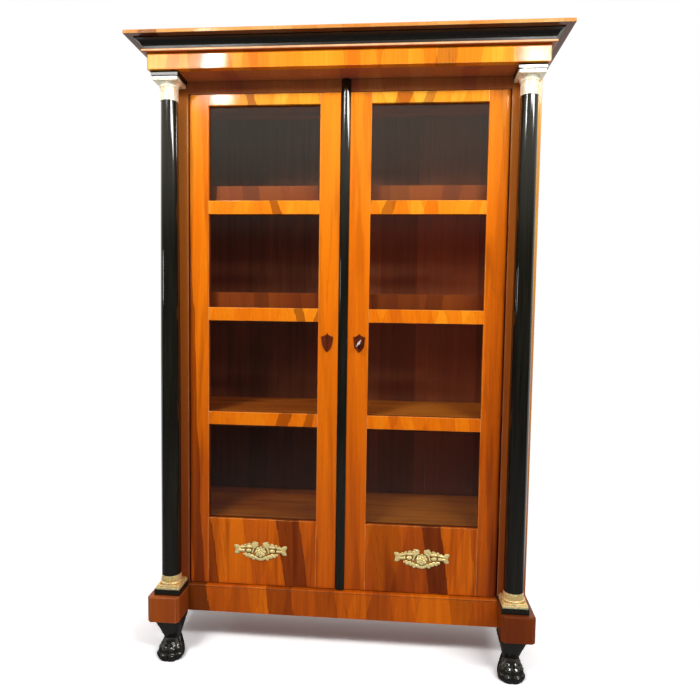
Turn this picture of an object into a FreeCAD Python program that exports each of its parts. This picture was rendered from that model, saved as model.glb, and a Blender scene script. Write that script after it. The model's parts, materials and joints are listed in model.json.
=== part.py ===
import FreeCAD, Part
import math
import os
from types import SimpleNamespace

import Sketcher

os.makedirs("parts", exist_ok=True)

# Driving sizes in millimetres. Heights stack from the floor up, depths run back from the door faces.
SIZES = {
    # Case
    "case_width": 1092,
    "case_depth": 350,
    "side_thickness": 20,
    "board_thickness": 22,
    "back_thickness": 12,
    "plank_gap": 0.6,
    # Feet
    "foot_height": 120,
    "foot_top_width": 75,
    "foot_top_thickness": 4,
    "foot_ankle_width": 45,
    "foot_ankle_height": 60,
    "foot_ankle_setback": 7,
    "paw_width": 74,
    "paw_depth": 72,
    "paw_height": 36,
    "toe_width": 21,
    "toe_length": 44,
    "toe_height": 25,
    "toe_reach": 7,
    "foot_setout": 52,
    "foot_inset": 3.5,
    "rear_foot_top": 62,
    "rear_foot_bottom": 48,
    "rear_foot_inset": 4,
    # Plinth
    "plinth_height": 76,
    "plinth_projection": 15,
    "plinth_side_projection": 10,
    "front_rail_thickness": 34,
    "plinth_rail_thickness": 20,
    "rail_rise": 6,
    "rail_lip": 6,
    "rail_lip_quirk": 2,
    "block_width": 94,
    "block_projection": 94,
    "block_side_projection": 1.5,
    "block_cant": 9,
    "block_rim": 3,
    # Columns
    "column_inset": 44,
    "column_setout": 43,
    "base_slab_width": 76,
    "base_slab_height": 16,
    "base_plate_width": 72,
    "base_plate_height": 7,
    "base_step_width": 66,
    "base_step_height": 5,
    "base_height": 37,
    "shaft_height": 1375,
    "shaft_bottom_diameter": 56,
    "shaft_top_diameter": 47,
    "shaft_entasis": 1.8,
    "capital_height": 61,
    "abacus_width": 72,
    "abacus_height": 11,
    "cap_slab_width": 76,
    "cap_slab_height": 12,
    # Front frame behind the columns
    "pilaster_width": 81,
    "pilaster_setback": 2,
    "pilaster_thickness": 38,
    "head_rail_height": 34.5,
    # Cornice
    "frieze_projection": 91,
    "frieze_height": 43,
    "frieze_thickness": 20,
    "bead_height": 8.5,
    "bead_projection": 13,
    "cove_height": 24.5,
    "cove_foot_projection": 9,
    "cove_step_height": 8,
    "cove_step": 2.5,
    "cove_projection": 27,
    "cove_hollow": 3,
    "cove_fillet": 2.5,
    "cornice_overhang": 47,
    "top_thickness": 10,
    "top_rim": 1.5,
    # Shelves, each height from the bottom board to the shelf's upper face
    "shelf_upper_height": 1205,
    "shelf_middle_height": 888,
    "shelf_lower_height": 526,
    "shelf_bottom_height": 197,
    "shelf_lip_height": 48,
    "shelf_lip_thickness": 20,
    "shelf_clearance": 1,
    "cleat_width": 14,
    "cleat_height": 20,
    # Doors
    "door_thickness": 28,
    "door_gap": 2.5,
    "hinge_gap": 3,
    "meeting_gap": 2,
    "hinge_stile_width": 59,
    "closing_stile_width": 61,
    "top_rail_height": 31,
    "bottom_panel_height": 201.5,
    "bar_height": 39,
    "lowest_bar_height": 508,
    "bar_pitch": 312,
    "front_lip_depth": 10,
    "rebate_width": 8,
    "pane_thickness": 3,
    "pane_clearance": 0.5,
    "glazing_bead_width": 7,
    "glazing_bead_depth": 9,
    "astragal_width": 26,
    "astragal_depth": 9,
    "astragal_edge": 3,
    "astragal_top_gap": 1.5,
    # Pivot hinges
    "pivot_inset": 10,
    "pin_diameter": 6,
    "pin_reach": 11,
    "pin_seat": 14,
    "pin_fit": 0.06,
    "pin_collar_diameter": 14,
    "pivot_plate_length": 26,
    "pivot_plate_width": 14,
    "pivot_plate_thickness": 4,
    "running_gap": 0.3,
    # Gilt mounts and escutcheons
    "mount_width": 163,
    "mount_height": 60,
    "mount_plate": 2.2,
    "mount_relief": 7,
    "mount_setoff": 242,
    "mount_height_above_door": 104.5,
    "escutcheon_width": 34,
    "escutcheon_height": 57,
    "escutcheon_thickness": 2.4,
    "escutcheon_setoff": 47,
    "keyhole_width": 8,
    "keyhole_length": 18,
    # Lock
    "lock_height": 740.5,
    "lock_length": 76,
    "lock_tall": 50,
    "lock_depth": 16,
    "lock_wall": 2.5,
    "lock_bolt_length": 52,
    "lock_bolt_height": 10,
    "lock_bolt_thickness": 8,
    "lock_bolt_rise": 17.5,
    "lock_bolt_travel": 12,
    "lock_bolt_inset": 1.5,
    "key_shank_diameter": 6,
    "key_bow_diameter": 24,
    "key_bow_thickness": 3.2,
    "key_standout": 15,
    "key_bit_length": 8,
    "key_bit_reach": 10,
    "key_bit_thickness": 2.4,
    # Bolts on the back of the left door
    "slide_bolt_length": 150,
    "slide_bolt_width": 12,
    "slide_bolt_thickness": 5,
    "slide_bolt_travel": 12,
    "slide_bolt_inset": 4,
    "slide_bolt_setoff": 38,
    "slide_plate_thickness": 1.5,
    "slide_plate_margin": 8,
    "staple_width": 10,
    "staple_wall": 2,
    "slide_knob_diameter": 10,
    "slide_knob_height": 8,
    # Shared by every through cut
    "overrun": 5,
}

BACK_PLANKS = 4
GLAZING_BARS = 3
TOES = 4
MIDDLE_TOES = (1, 2)
KEY_TILT_DEG = 35
RIGHT_ANGLE_DEG = 90
QUARTER_SAGITTA_SHARE = 1 - math.sqrt(0.5)
NOSING_SHARE = 0.46
PIVOT_PLATE_HEAD_SHARE = 0.6

# Shares of the paw's own sizes that shape its stations and toes
SOLE_SHARE = 0.94
INSTEP_SHARE = 0.9
INSTEP_SETBACK_SHARE = 0.6
CAP_UNDERSIDE_SHARE = 0.98
PAW_CORNER_SHARES = (0.3, 0.3, 0.32, 0.34, 0.08)
CAP_CORNER_SHARE = 0.06
TOE_BULK_SHARE = 0.6
TOE_RISE_SHARE = 0.4
TOE_LEAD_SHARE = 0.65
MIDDLE_TOE_LEAD_SHARE = 1.0

# Turned profiles as shares of half the square plate and of the turned height, with the bulge of
# the stretch that follows as a share of that height
BASE_PROFILE_SHARES = [
    (0.86, 0.00, 0.08),
    (0.86, 0.24, 0.00),
    (0.84, 0.28, 0.00),
    (0.84, 0.34, -0.06),
    (0.80, 0.76, 0.00),
    (0.83, 0.80, 0.04),
    (0.83, 1.00, 0.00),
]
CAPITAL_PROFILE_SHARES = [
    (0.70, 0.00, 0.00),
    (0.70, 0.05, 0.00),
    (0.68, 0.06, 0.00),
    (0.69, 0.72, 0.00),
    (0.73, 0.74, 0.02),
    (0.73, 0.81, 0.00),
    (0.71, 0.83, -0.05),
    (0.94, 1.00, 0.00),
]

# Right half of the gilt mount's outline from its top middle, as shares of its width and height,
# with the bulge of the stretch that follows as a share of the height
MOUNT_OUTLINE_SHARES = [
    (0.000, 0.26, 0.00),
    (0.030, 0.40, 0.09),
    (0.130, 0.44, 0.09),
    (0.165, 0.20, 0.00),
    (0.225, 0.36, 0.05),
    (0.300, 0.16, 0.00),
    (0.365, 0.26, 0.04),
    (0.430, 0.08, 0.00),
    (0.500, 0.06, 0.03),
    (0.470, -0.14, 0.00),
    (0.390, -0.10, 0.03),
    (0.320, -0.30, 0.05),
    (0.240, -0.22, 0.00),
    (0.190, -0.42, 0.07),
    (0.090, -0.36, 0.00),
    (0.060, -0.50, 0.05),
    (0.000, -0.46, 0.00),
]
# Raised buttons on the mount: place, base radius and crown radius as shares of its width and
# height, and height as a share of the relief
MOUNT_BUTTON_SHARES = [
    (0.000, -0.08, 0.105, 0.070, 0.70),
    (0.000, -0.08, 0.055, 0.030, 1.00),
    (0.082, 0.26, 0.060, 0.034, 0.62),
    (0.175, -0.10, 0.052, 0.026, 0.58),
    (0.250, 0.10, 0.046, 0.020, 0.52),
    (0.300, -0.10, 0.044, 0.018, 0.50),
    (0.365, 0.06, 0.040, 0.016, 0.46),
    (0.440, -0.02, 0.036, 0.012, 0.42),
]

# Right half of the shield from its point at the top, as shares of its width and height, with
# the bulge of the stretch that follows as a share of its height
SHIELD_SHARES = [
    (0.00, 0.50, -0.03),
    (0.25, 0.36, -0.02),
    (0.50, 0.32, 0.01),
    (0.44, -0.06, 0.05),
    (0.00, -0.50, 0.00),
]


class Length:
    """A length held both as a number and as an expression on the sheet."""

    def __init__(self, value, text):
        self.value = value
        self.text = text

    def __add__(self, other):
        return Length(self.value + other.value, f"({self.text} + {other.text})")

    def __sub__(self, other):
        return Length(self.value - other.value, f"({self.text} - {other.text})")

    def __mul__(self, share):
        return Length(self.value * share, f"({self.text} * {share:.6f})")

    def __truediv__(self, count):
        return Length(self.value / count, f"({self.text} / {count})")

    def __neg__(self):
        return Length(-self.value, f"(0 - {self.text})")


doc = FreeCAD.newDocument("bookcase")
sheet = doc.addObject("Spreadsheet::Sheet", "Sizes")
for row, (alias, size) in enumerate(SIZES.items(), start=1):
    sheet.set(f"A{row}", alias)
    sheet.set(f"B{row}", str(size))
    sheet.setAlias(f"B{row}", alias)
doc.recompute()

ZERO = Length(0.0, "0")
S = SimpleNamespace(**{alias: Length(float(size), f"Sizes.{alias}") for alias, size in SIZES.items()})

# Levels and planes that several pieces share
half_case = S.case_width / 2
inner_half = half_case - S.side_thickness
total_depth = S.case_depth + S.frieze_projection + S.cornice_overhang
front_y = -(total_depth / 2)
back_y = total_depth / 2
face_y = front_y + S.cornice_overhang + S.frieze_projection
frieze_y = front_y + S.cornice_overhang
back_inner_y = back_y - S.back_thickness

block_top_z = S.foot_height + S.plinth_height
bottom_board_z = block_top_z + S.rail_rise
door_bottom_z = bottom_board_z + S.door_gap
shaft_bottom_z = block_top_z + S.base_slab_height + S.base_height
capital_z = shaft_bottom_z + S.shaft_height
cap_slab_z = capital_z + S.capital_height
soffit_z = cap_slab_z + S.cap_slab_height
head_rail_z = soffit_z - S.head_rail_height
door_top_z = head_rail_z - S.door_gap
door_height = door_top_z - door_bottom_z
frieze_top_z = soffit_z + S.frieze_height
cove_z = frieze_top_z + S.bead_height
top_z = cove_z + S.cove_height

column_x = half_case - S.column_inset
column_y = face_y - S.column_setout
foot_x = column_x - S.foot_inset
block_x = half_case + S.plinth_side_projection + S.block_side_projection - S.block_width
block_y = face_y - S.block_projection
rail_back_y = face_y - S.plinth_projection + S.front_rail_thickness
pilaster_x = half_case - S.pilaster_width
pilaster_y = face_y + S.pilaster_setback
pilaster_back_y = pilaster_y + S.pilaster_thickness
shelf_y = pilaster_back_y + S.pilaster_setback

door_edge_x = pilaster_x - S.hinge_gap
pane_outer_x = door_edge_x - S.hinge_stile_width
astragal_half = S.astragal_width / 2
pane_inner_x = astragal_half + S.closing_stile_width
door_back_y = face_y + S.door_thickness
rebate_y = face_y + S.front_lip_depth
pivot_x = door_edge_x - S.pivot_inset
pivot_y = face_y + S.pivot_inset
left_edge_x = astragal_half + S.meeting_gap
key_x = S.escutcheon_setoff
key_z = door_bottom_z + S.lock_height

nodes = {}


def keep(piece, name):
    """Name a finished sub-part and list it for writing."""
    piece.Label = name
    nodes[name] = piece
    return piece


def place(piece, corner):
    """Bind a piece's position to the sheet."""
    for axis, length in zip("xyz", corner):
        piece.setExpression(f"Placement.Base.{axis}", length.text)


def box(name, corner, size):
    """A rectangular block from its low corner and its three sizes."""
    piece = doc.addObject("Part::Box", name)
    for side, length in zip(("Length", "Width", "Height"), size):
        piece.setExpression(side, length.text)
    place(piece, corner)
    return piece


def span_box(name, low, high):
    """A rectangular block between two corners."""
    return box(name, low, [end - start for start, end in zip(low, high)])


def rod(name, base, radius, length, rotation=None):
    """A cylinder that stands on its base point."""
    piece = doc.addObject("Part::Cylinder", name)
    piece.setExpression("Radius", radius.text)
    piece.setExpression("Height", length.text)
    if rotation:
        piece.Placement = FreeCAD.Placement(FreeCAD.Vector(), rotation)
    place(piece, base)
    return piece


def fuse(name, members):
    """Several overlapping or touching solids as one."""
    piece = doc.addObject("Part::MultiFuse", name)
    piece.Shapes = members
    piece.Refine = True
    return piece


def cut(name, base, tool):
    """One solid less another."""
    piece = doc.addObject("Part::Cut", name)
    piece.Base = base
    piece.Tool = tool
    return piece


def group(name, members):
    """Separate solids kept together in one node."""
    piece = doc.addObject("Part::Compound", name)
    piece.Links = members
    return piece


def mirror(name, source):
    """The left-hand twin of a right-hand piece."""
    piece = doc.addObject("Part::Mirroring", name)
    piece.Source = source
    piece.Normal = FreeCAD.Vector(1, 0, 0)
    return piece


def keep_pair(name, right_piece):
    """Keep a right-hand piece and its mirrored left-hand twin."""
    keep(right_piece, f"{name}_right")
    keep(mirror(f"{name}_left_mirror", right_piece), f"{name}_left")


def new_body(name, corner):
    """An empty body at a bound place."""
    body = doc.addObject("PartDesign::Body", name)
    place(body, corner)
    return body


def new_sketch(body, name, role, height=None):
    """A sketch on one of the body's own planes, lifted off it when a height is given."""
    sketch = body.newObject("Sketcher::SketchObject", name)
    plane = [feature for feature in body.Origin.OriginFeatures if feature.Role == role][0]
    sketch.AttachmentSupport = [(plane, "")]
    sketch.MapMode = "FlatFace"
    if height:
        sketch.setExpression("AttachmentOffset.Base.z", height.text)
    return sketch


def draw(sketch, corners):
    """A closed outline, anticlockwise through corners (u, v, bulge). A bulge other than zero makes
    the stretch to the next corner an arc of that height, outwards if positive. An inward arc is
    stored from its far end."""
    count = len(corners)
    first = sketch.GeometryCount
    points = [FreeCAD.Vector(u.value, v.value, 0) for u, v, bulge in corners]
    for index, (u, v, bulge) in enumerate(corners):
        start = points[index]
        end = points[(index + 1) % count]
        if not bulge.value:
            sketch.addGeometry(Part.LineSegment(start, end), False)
            continue
        chord = end - start
        outward = FreeCAD.Vector(chord.y, -chord.x, 0).normalize()
        middle = (start + end) * 0.5 + outward * bulge.value
        sketch.addGeometry(Part.Arc(start, middle, end), False)
    ends = [(2, 1) if bulge.value < 0 else (1, 2) for u, v, bulge in corners]
    for index in range(count):
        after = (index + 1) % count
        sketch.addConstraint(Sketcher.Constraint(
            "Coincident", first + index, ends[index][1], first + after, ends[after][0]))
    for index, (u, v, bulge) in enumerate(corners):
        hold_corner(sketch, first + index, ends[index][0], u, v)
        if bulge.value:
            hold_radius(sketch, first + index, corners[index], corners[(index + 1) % count])


def hold_corner(sketch, geometry, end, u, v):
    """Bind both coordinates of a stretch's end to the sheet."""
    for kind, length, axis_line in (("DistanceX", u, -2), ("DistanceY", v, -1)):
        if abs(length.value) < 1e-9:
            sketch.addConstraint(Sketcher.Constraint("PointOnObject", geometry, end, axis_line))
            continue
        index = sketch.addConstraint(Sketcher.Constraint(kind, -1, 1, geometry, end, length.value))
        sketch.setExpression(f"Constraints[{index}]", length.text)


def hold_radius(sketch, geometry, corner, next_corner):
    """Bind an arc's radius to its chord and its bulge."""
    du = next_corner[0] - corner[0]
    dv = next_corner[1] - corner[1]
    bulge = corner[2]
    quarter = f"(({du.text})^2 + ({dv.text})^2) / 4"
    radius = f"({quarter} + ({bulge.text})^2) / (2 * abs({bulge.text}))"
    value = sketch.Geometry[geometry].Radius
    index = sketch.addConstraint(Sketcher.Constraint("Radius", geometry, value))
    sketch.setExpression(f"Constraints[{index}]", radius)


def straight(*corners):
    """Corners of an outline without arcs."""
    return [(u, v, ZERO) for u, v in corners]


def rectangle(width, height):
    """The outline of a rectangle from the origin."""
    return straight((ZERO, ZERO), (width, ZERO), (width, height), (ZERO, height))


def pad(body, sketch, length, backwards=False):
    """Material from a sketch along its normal."""
    feature = body.newObject("PartDesign::Pad", f"{sketch.Name}_pad")
    feature.Profile = sketch
    feature.setExpression("Length", length.text)
    feature.Reversed = backwards
    sketch.Visibility = False
    return feature


def pocket_through(body, sketch):
    """A cut right through the body, both ways from its sketch."""
    feature = body.newObject("PartDesign::Pocket", f"{sketch.Name}_pocket")
    feature.Profile = sketch
    feature.Type = "ThroughAll"
    feature.Midplane = True
    return feature


def turn(body, sketch):
    """A full turn of a profile about its upright axis."""
    feature = body.newObject("PartDesign::Revolution", f"{sketch.Name}_turning")
    feature.Profile = sketch
    feature.ReferenceAxis = (sketch, ["V_Axis"])
    feature.Angle = 360
    return feature


def chamfer_rim(body, size):
    """A chamfer round the uppermost face of a body."""
    doc.recompute()
    stock = body.Tip
    faces = stock.Shape.Faces
    highest = max(range(len(faces)), key=lambda index: faces[index].CenterOfMass.z)
    rim = body.newObject("PartDesign::Chamfer", f"{body.Name}_rim")
    rim.Base = (stock, [f"Face{highest + 1}"])
    rim.setExpression("Size", size.text)


def profile_body(name, role, outline, length, corner, backwards=False):
    """A straight piece of constant section."""
    body = new_body(name, corner)
    sketch = new_sketch(body, f"{name}_section", role)
    draw(sketch, outline)
    pad(body, sketch, length, backwards)
    return body


def rounded_outline(width, depth, radius, x, y):
    """A rectangle with rounded corners centred on a point."""
    sagitta = radius * QUARTER_SAGITTA_SHARE
    left = x - width / 2
    right = x + width / 2
    front = y - depth / 2
    back = y + depth / 2
    return [
        (left + radius, front, ZERO), (right - radius, front, sagitta),
        (right, front + radius, ZERO), (right, back - radius, sagitta),
        (right - radius, back, ZERO), (left + radius, back, sagitta),
        (left, back - radius, ZERO), (left, front + radius, sagitta),
    ]


def make_paw_foot():
    """A carved paw under each plinth block: tapered leg, drawn-in ankle and a paw with four toes."""
    middle = S.foot_top_width / 2
    paw_y = middle + S.toe_reach
    body = new_body("paw_leg", (foot_x - middle, face_y - S.foot_setout - paw_y, ZERO))
    toe_level = S.toe_height / 2
    cap_z = S.foot_height - S.foot_top_thickness
    ankle_y = paw_y + S.foot_ankle_setback
    cap_under = S.foot_top_width * CAP_UNDERSIDE_SHARE
    instep_y = paw_y + S.foot_ankle_setback * INSTEP_SETBACK_SHARE
    stations = [
        (ZERO, S.paw_width * SOLE_SHARE, S.paw_depth * SOLE_SHARE, paw_y),
        (toe_level, S.paw_width, S.paw_depth, paw_y),
        (S.paw_height, S.paw_width * INSTEP_SHARE, S.paw_depth * INSTEP_SHARE, instep_y),
        (S.foot_ankle_height, S.foot_ankle_width, S.foot_ankle_width, ankle_y),
        (cap_z, cap_under, cap_under, paw_y),
    ]
    sections = []
    for number, (height, width, depth, station_y) in enumerate(stations):
        sketch = new_sketch(body, f"paw_station_{number}", "XY_Plane", height)
        radius = width * PAW_CORNER_SHARES[number]
        draw(sketch, rounded_outline(width, depth, radius, middle, station_y))
        sections.append(sketch)
    for name, run in (("paw_loft", sections[:-1]), ("leg_loft", sections[-2:])):
        loft = body.newObject("PartDesign::AdditiveLoft", name)
        loft.Profile = run[0]
        loft.Sections = run[1:]
    cap = new_sketch(body, "paw_cap", "XY_Plane", cap_z)
    cap_corner = S.foot_top_width * CAP_CORNER_SHARE
    draw(cap, rounded_outline(S.foot_top_width, S.foot_top_width, cap_corner, middle, paw_y))
    pad(body, cap, S.foot_top_thickness)
    toes = [make_toe(number) for number in range(TOES)]
    paw = fuse("paw_with_toes", [body, *toes])
    ground = span_box(
        "paw_ground",
        (foot_x - S.foot_top_width, front_y - S.overrun, -S.toe_height),
        (foot_x + S.foot_top_width, face_y + S.overrun, ZERO),
    )
    keep_pair("paw_foot", cut("paw_foot_cut", paw, ground))


def make_toe(number):
    """One rounded toe of the four, the two middle ones a little further forward."""
    across_share = (number - (TOES - 1) / 2) / TOES
    lead_share = MIDDLE_TOE_LEAD_SHARE if number in MIDDLE_TOES else TOE_LEAD_SHARE
    toe = doc.addObject("Part::Ellipsoid", f"toe_{number}")
    toe.setExpression("Radius1", (S.toe_height * TOE_BULK_SHARE).text)
    toe.setExpression("Radius2", (S.toe_width / 2).text)
    toe.setExpression("Radius3", (S.toe_length / 2).text)
    paw_front = face_y - S.foot_setout - S.paw_depth / 2
    place(toe, (
        foot_x + S.paw_width * across_share,
        paw_front + S.toe_length / 2 - S.toe_reach * lead_share,
        S.toe_height * TOE_RISE_SHARE,
    ))
    return toe


def make_rear_feet():
    """Plain tapered feet under the back corners."""
    half_top = S.rear_foot_top / 2
    corner = (
        half_case + S.plinth_side_projection - S.rear_foot_inset - S.rear_foot_top,
        back_y - S.rear_foot_inset - S.rear_foot_top,
        ZERO,
    )
    body = new_body("rear_foot", corner)
    low = new_sketch(body, "rear_foot_low", "XY_Plane")
    draw(low, rounded_outline(S.rear_foot_bottom, S.rear_foot_bottom, S.rear_foot_inset, half_top, half_top))
    high = new_sketch(body, "rear_foot_high", "XY_Plane", S.foot_height)
    draw(high, rounded_outline(S.rear_foot_top, S.rear_foot_top, S.rear_foot_inset, half_top, half_top))
    loft = body.newObject("PartDesign::AdditiveLoft", "rear_foot_loft")
    loft.Profile = low
    loft.Sections = [high]
    keep(group("rear_foot_pair", [body, mirror("rear_foot_mirror", body)]), "rear_feet")


def make_plinth():
    """Canted blocks under the columns, a lipped front rail between them, plain rails behind."""
    depth = rail_back_y - block_y
    cant = S.block_cant
    width = S.block_width
    outline = straight(
        (cant, ZERO), (width - cant, ZERO), (width, cant), (width, depth), (ZERO, depth), (ZERO, cant),
    )
    block = profile_body(
        "plinth_block", "XY_Plane", outline, S.plinth_height, (block_x, block_y, S.foot_height),
    )
    chamfer_rim(block, S.block_rim)
    keep_pair("plinth_block", block)

    rail_height = bottom_board_z - S.foot_height
    thickness = S.front_rail_thickness
    lip = S.rail_lip
    quirk = S.rail_lip_quirk
    lip_outline = [
        (quirk, ZERO, ZERO),
        (thickness, ZERO, ZERO),
        (thickness, rail_height, ZERO),
        (lip / 2, rail_height, lip * NOSING_SHARE),
        (lip / 2, rail_height - lip, ZERO),
        (quirk, rail_height - lip, ZERO),
    ]
    rail = profile_body(
        "front_rail_stock", "YZ_Plane", lip_outline, block_x + block_x,
        (-block_x, face_y - S.plinth_projection, S.foot_height),
    )
    seats = [pin_hole(f"bottom_pin_seat_{side}", side, bottom_board_z - S.pin_seat) for side in (-1, 1)]
    keep(cut("front_rail_cut", rail, group("bottom_pin_seats", seats)), "plinth_front_rail")

    outer = half_case + S.plinth_side_projection
    inner = outer - S.plinth_rail_thickness
    side = span_box("side_rail", (inner, rail_back_y, S.foot_height), (outer, back_y, block_top_z))
    rear = span_box(
        "back_rail", (-inner, back_y - S.plinth_rail_thickness, S.foot_height),
        (inner, back_y, bottom_board_z - S.board_thickness),
    )
    keep(group("plinth_rail_set", [side, mirror("side_rail_mirror", side), rear]), "plinth_rails")


def pin_hole(name, side, low_z):
    """A seat for a pivot pin in a fixed rail."""
    radius = S.pin_diameter / 2 + S.pin_fit
    return rod(name, (pivot_x * side, pivot_y, low_z), radius, S.pin_seat)


def make_case():
    """Bottom board, side panels, pilasters, head rail, top, soffit and back planks."""
    drop = S.slide_bolt_travel + S.running_gap
    floor = span_box(
        "bottom_board_stock", (-inner_half, rail_back_y, bottom_board_z - S.board_thickness),
        (inner_half, back_inner_y, bottom_board_z),
    )
    notch = span_box(
        "pilaster_notch", (pilaster_x, rail_back_y - S.overrun, block_top_z),
        (half_case, pilaster_back_y, bottom_board_z + S.overrun),
    )
    socket_low = slide_socket("bottom_bolt_socket", bottom_board_z - drop, drop)
    floor_cuts = group("bottom_board_cuts", [notch, mirror("pilaster_notch_mirror", notch), socket_low])
    keep(cut("bottom_board_cut", floor, floor_cuts), "bottom_board")

    side = span_box("side_panel", (inner_half, pilaster_back_y, block_top_z), (half_case, back_y, soffit_z))
    keep_pair("side_panel", side)
    pilaster = span_box(
        "pilaster", (pilaster_x, pilaster_y, block_top_z), (half_case, pilaster_back_y, soffit_z),
    )
    keep_pair("pilaster", pilaster)

    head = span_box(
        "head_rail_stock", (-pilaster_x, pilaster_y, head_rail_z), (pilaster_x, pilaster_back_y, soffit_z),
    )
    seats = [pin_hole(f"top_pin_seat_{side}", side, head_rail_z) for side in (-1, 1)]
    socket_high = slide_socket("top_bolt_socket", head_rail_z, drop)
    keep(cut("head_rail_cut", head, group("head_rail_holes", [*seats, socket_high])), "head_rail")

    board = S.board_thickness
    lid_z = soffit_z + board
    lid = span_box("case_lid", (-inner_half, pilaster_y, soffit_z), (inner_half, back_inner_y, lid_z))
    keep(lid, "carcase_top")
    soffit_front = frieze_y + S.frieze_thickness
    soffit = span_box("soffit", (-inner_half, soffit_front, soffit_z), (inner_half, pilaster_y, lid_z))
    keep(soffit, "soffit_board")

    pitch = (inner_half + inner_half) / BACK_PLANKS
    plank_size = (pitch - S.plank_gap, S.back_thickness, top_z - bottom_board_z + board)
    planks = [
        box(f"back_plank_{number}",
            (pitch * number - inner_half + S.plank_gap / 2, back_inner_y, bottom_board_z - board), plank_size)
        for number in range(BACK_PLANKS)
    ]
    keep(group("back_plank_set", planks), "back_boards")


def make_shelves():
    """Four shelves with a deep veneered lip, each on a pair of cleats."""
    length = (inner_half - S.shelf_clearance) * 2
    depth = back_inner_y - S.shelf_clearance - shelf_y
    lip = S.shelf_lip_thickness
    under = S.shelf_lip_height - S.board_thickness
    outline = straight(
        (ZERO, ZERO), (lip, ZERO), (lip, under), (depth, under),
        (depth, S.shelf_lip_height), (ZERO, S.shelf_lip_height),
    )
    heights = {
        "upper": S.shelf_upper_height,
        "middle": S.shelf_middle_height,
        "lower": S.shelf_lower_height,
        "bottom": S.shelf_bottom_height,
    }
    cleats = []
    for name, height in heights.items():
        surface = bottom_board_z + height
        corner = (S.shelf_clearance - inner_half, shelf_y, surface - S.shelf_lip_height)
        keep(profile_body(f"shelf_{name}_board", "YZ_Plane", outline, length, corner), f"shelf_{name}")
        cleat_top = surface - S.board_thickness
        cleat_y = shelf_y + lip + S.shelf_clearance
        cleat = box(
            f"cleat_{name}",
            (inner_half - S.cleat_width, cleat_y, cleat_top - S.cleat_height),
            (S.cleat_width, depth - lip - S.shelf_clearance, S.cleat_height),
        )
        cleats += [cleat, mirror(f"cleat_{name}_mirror", cleat)]
    keep(group("cleat_set", cleats), "shelf_cleats")


def make_moulding(name, level, projection, outline):
    """A moulding round the front and sides, mitred at the front corners. The outline gives distance
    in from the outermost line, and height."""
    depth = projection + S.frieze_thickness
    width = half_case + projection
    front = profile_body(
        f"{name}_front", "YZ_Plane", outline, width + width, (-width, frieze_y - projection, level),
    )
    mitres = new_sketch(front, f"{name}_front_mitres", "XY_Plane")
    draw(mitres, straight((ZERO, ZERO), (depth, depth), (ZERO, depth)))
    length = width + width
    draw(mitres, straight((length, ZERO), (length, depth), (length - depth, depth)))
    pocket_through(front, mitres)

    mirrored = [(depth - u, v, bulge) for u, v, bulge in outline]
    flipped = [
        (mirrored[index][0], mirrored[index][1], mirrored[index - 1][2]) for index in range(len(mirrored))
    ][::-1]
    side = profile_body(
        f"{name}_side", "XZ_Plane", flipped, back_y - frieze_y + projection,
        (half_case - S.frieze_thickness, frieze_y - projection, level), backwards=True,
    )
    mitre = new_sketch(side, f"{name}_side_mitre", "XY_Plane")
    draw(mitre, straight((ZERO, ZERO), (depth, ZERO), (ZERO, depth)))
    pocket_through(side, mitre)
    return group(f"{name}_run", [front, side, mirror(f"{name}_side_mirror", side)])


def make_cornice():
    """Frieze, bead, black stepped cove and top board."""
    keep(make_moulding("frieze", soffit_z, ZERO, rectangle(S.frieze_thickness, S.frieze_height)), "frieze")

    bead_depth = S.bead_projection + S.frieze_thickness
    half_round = S.bead_height / 2
    bead_outline = [
        (half_round, ZERO, ZERO), (bead_depth, ZERO, ZERO),
        (bead_depth, S.bead_height, ZERO), (half_round, S.bead_height, S.bead_height * NOSING_SHARE),
    ]
    keep(make_moulding("cornice_bead", frieze_top_z, S.bead_projection, bead_outline), "cornice_bead")

    cove_depth = S.cove_projection + S.frieze_thickness
    foot = S.cove_projection - S.cove_foot_projection
    step = foot - S.cove_step
    cove_outline = [
        (foot, ZERO, ZERO),
        (cove_depth, ZERO, ZERO),
        (cove_depth, S.cove_height, ZERO),
        (ZERO, S.cove_height, ZERO),
        (ZERO, S.cove_height - S.cove_fillet, -S.cove_hollow),
        (step, S.cove_step_height, ZERO),
        (foot, S.cove_step_height, ZERO),
    ]
    keep(make_moulding("cornice_cove", cove_z, S.cove_projection, cove_outline), "cornice_cove")

    half_top = half_case + S.cornice_overhang
    top = profile_body(
        "cornice_top_board", "XY_Plane", rectangle(half_top + half_top, total_depth), S.top_thickness,
        (-half_top, front_y, top_z),
    )
    chamfer_rim(top, S.top_rim)
    keep(top, "cornice_top")


def share_outline(shares, half_width, height):
    """A turned profile from shares, closed down the axis."""
    corners = [(half_width * across, height * up, height * bulge) for across, up, bulge in shares]
    return [(ZERO, ZERO, ZERO), *corners, (ZERO, height * shares[-1][1], ZERO)]


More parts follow.
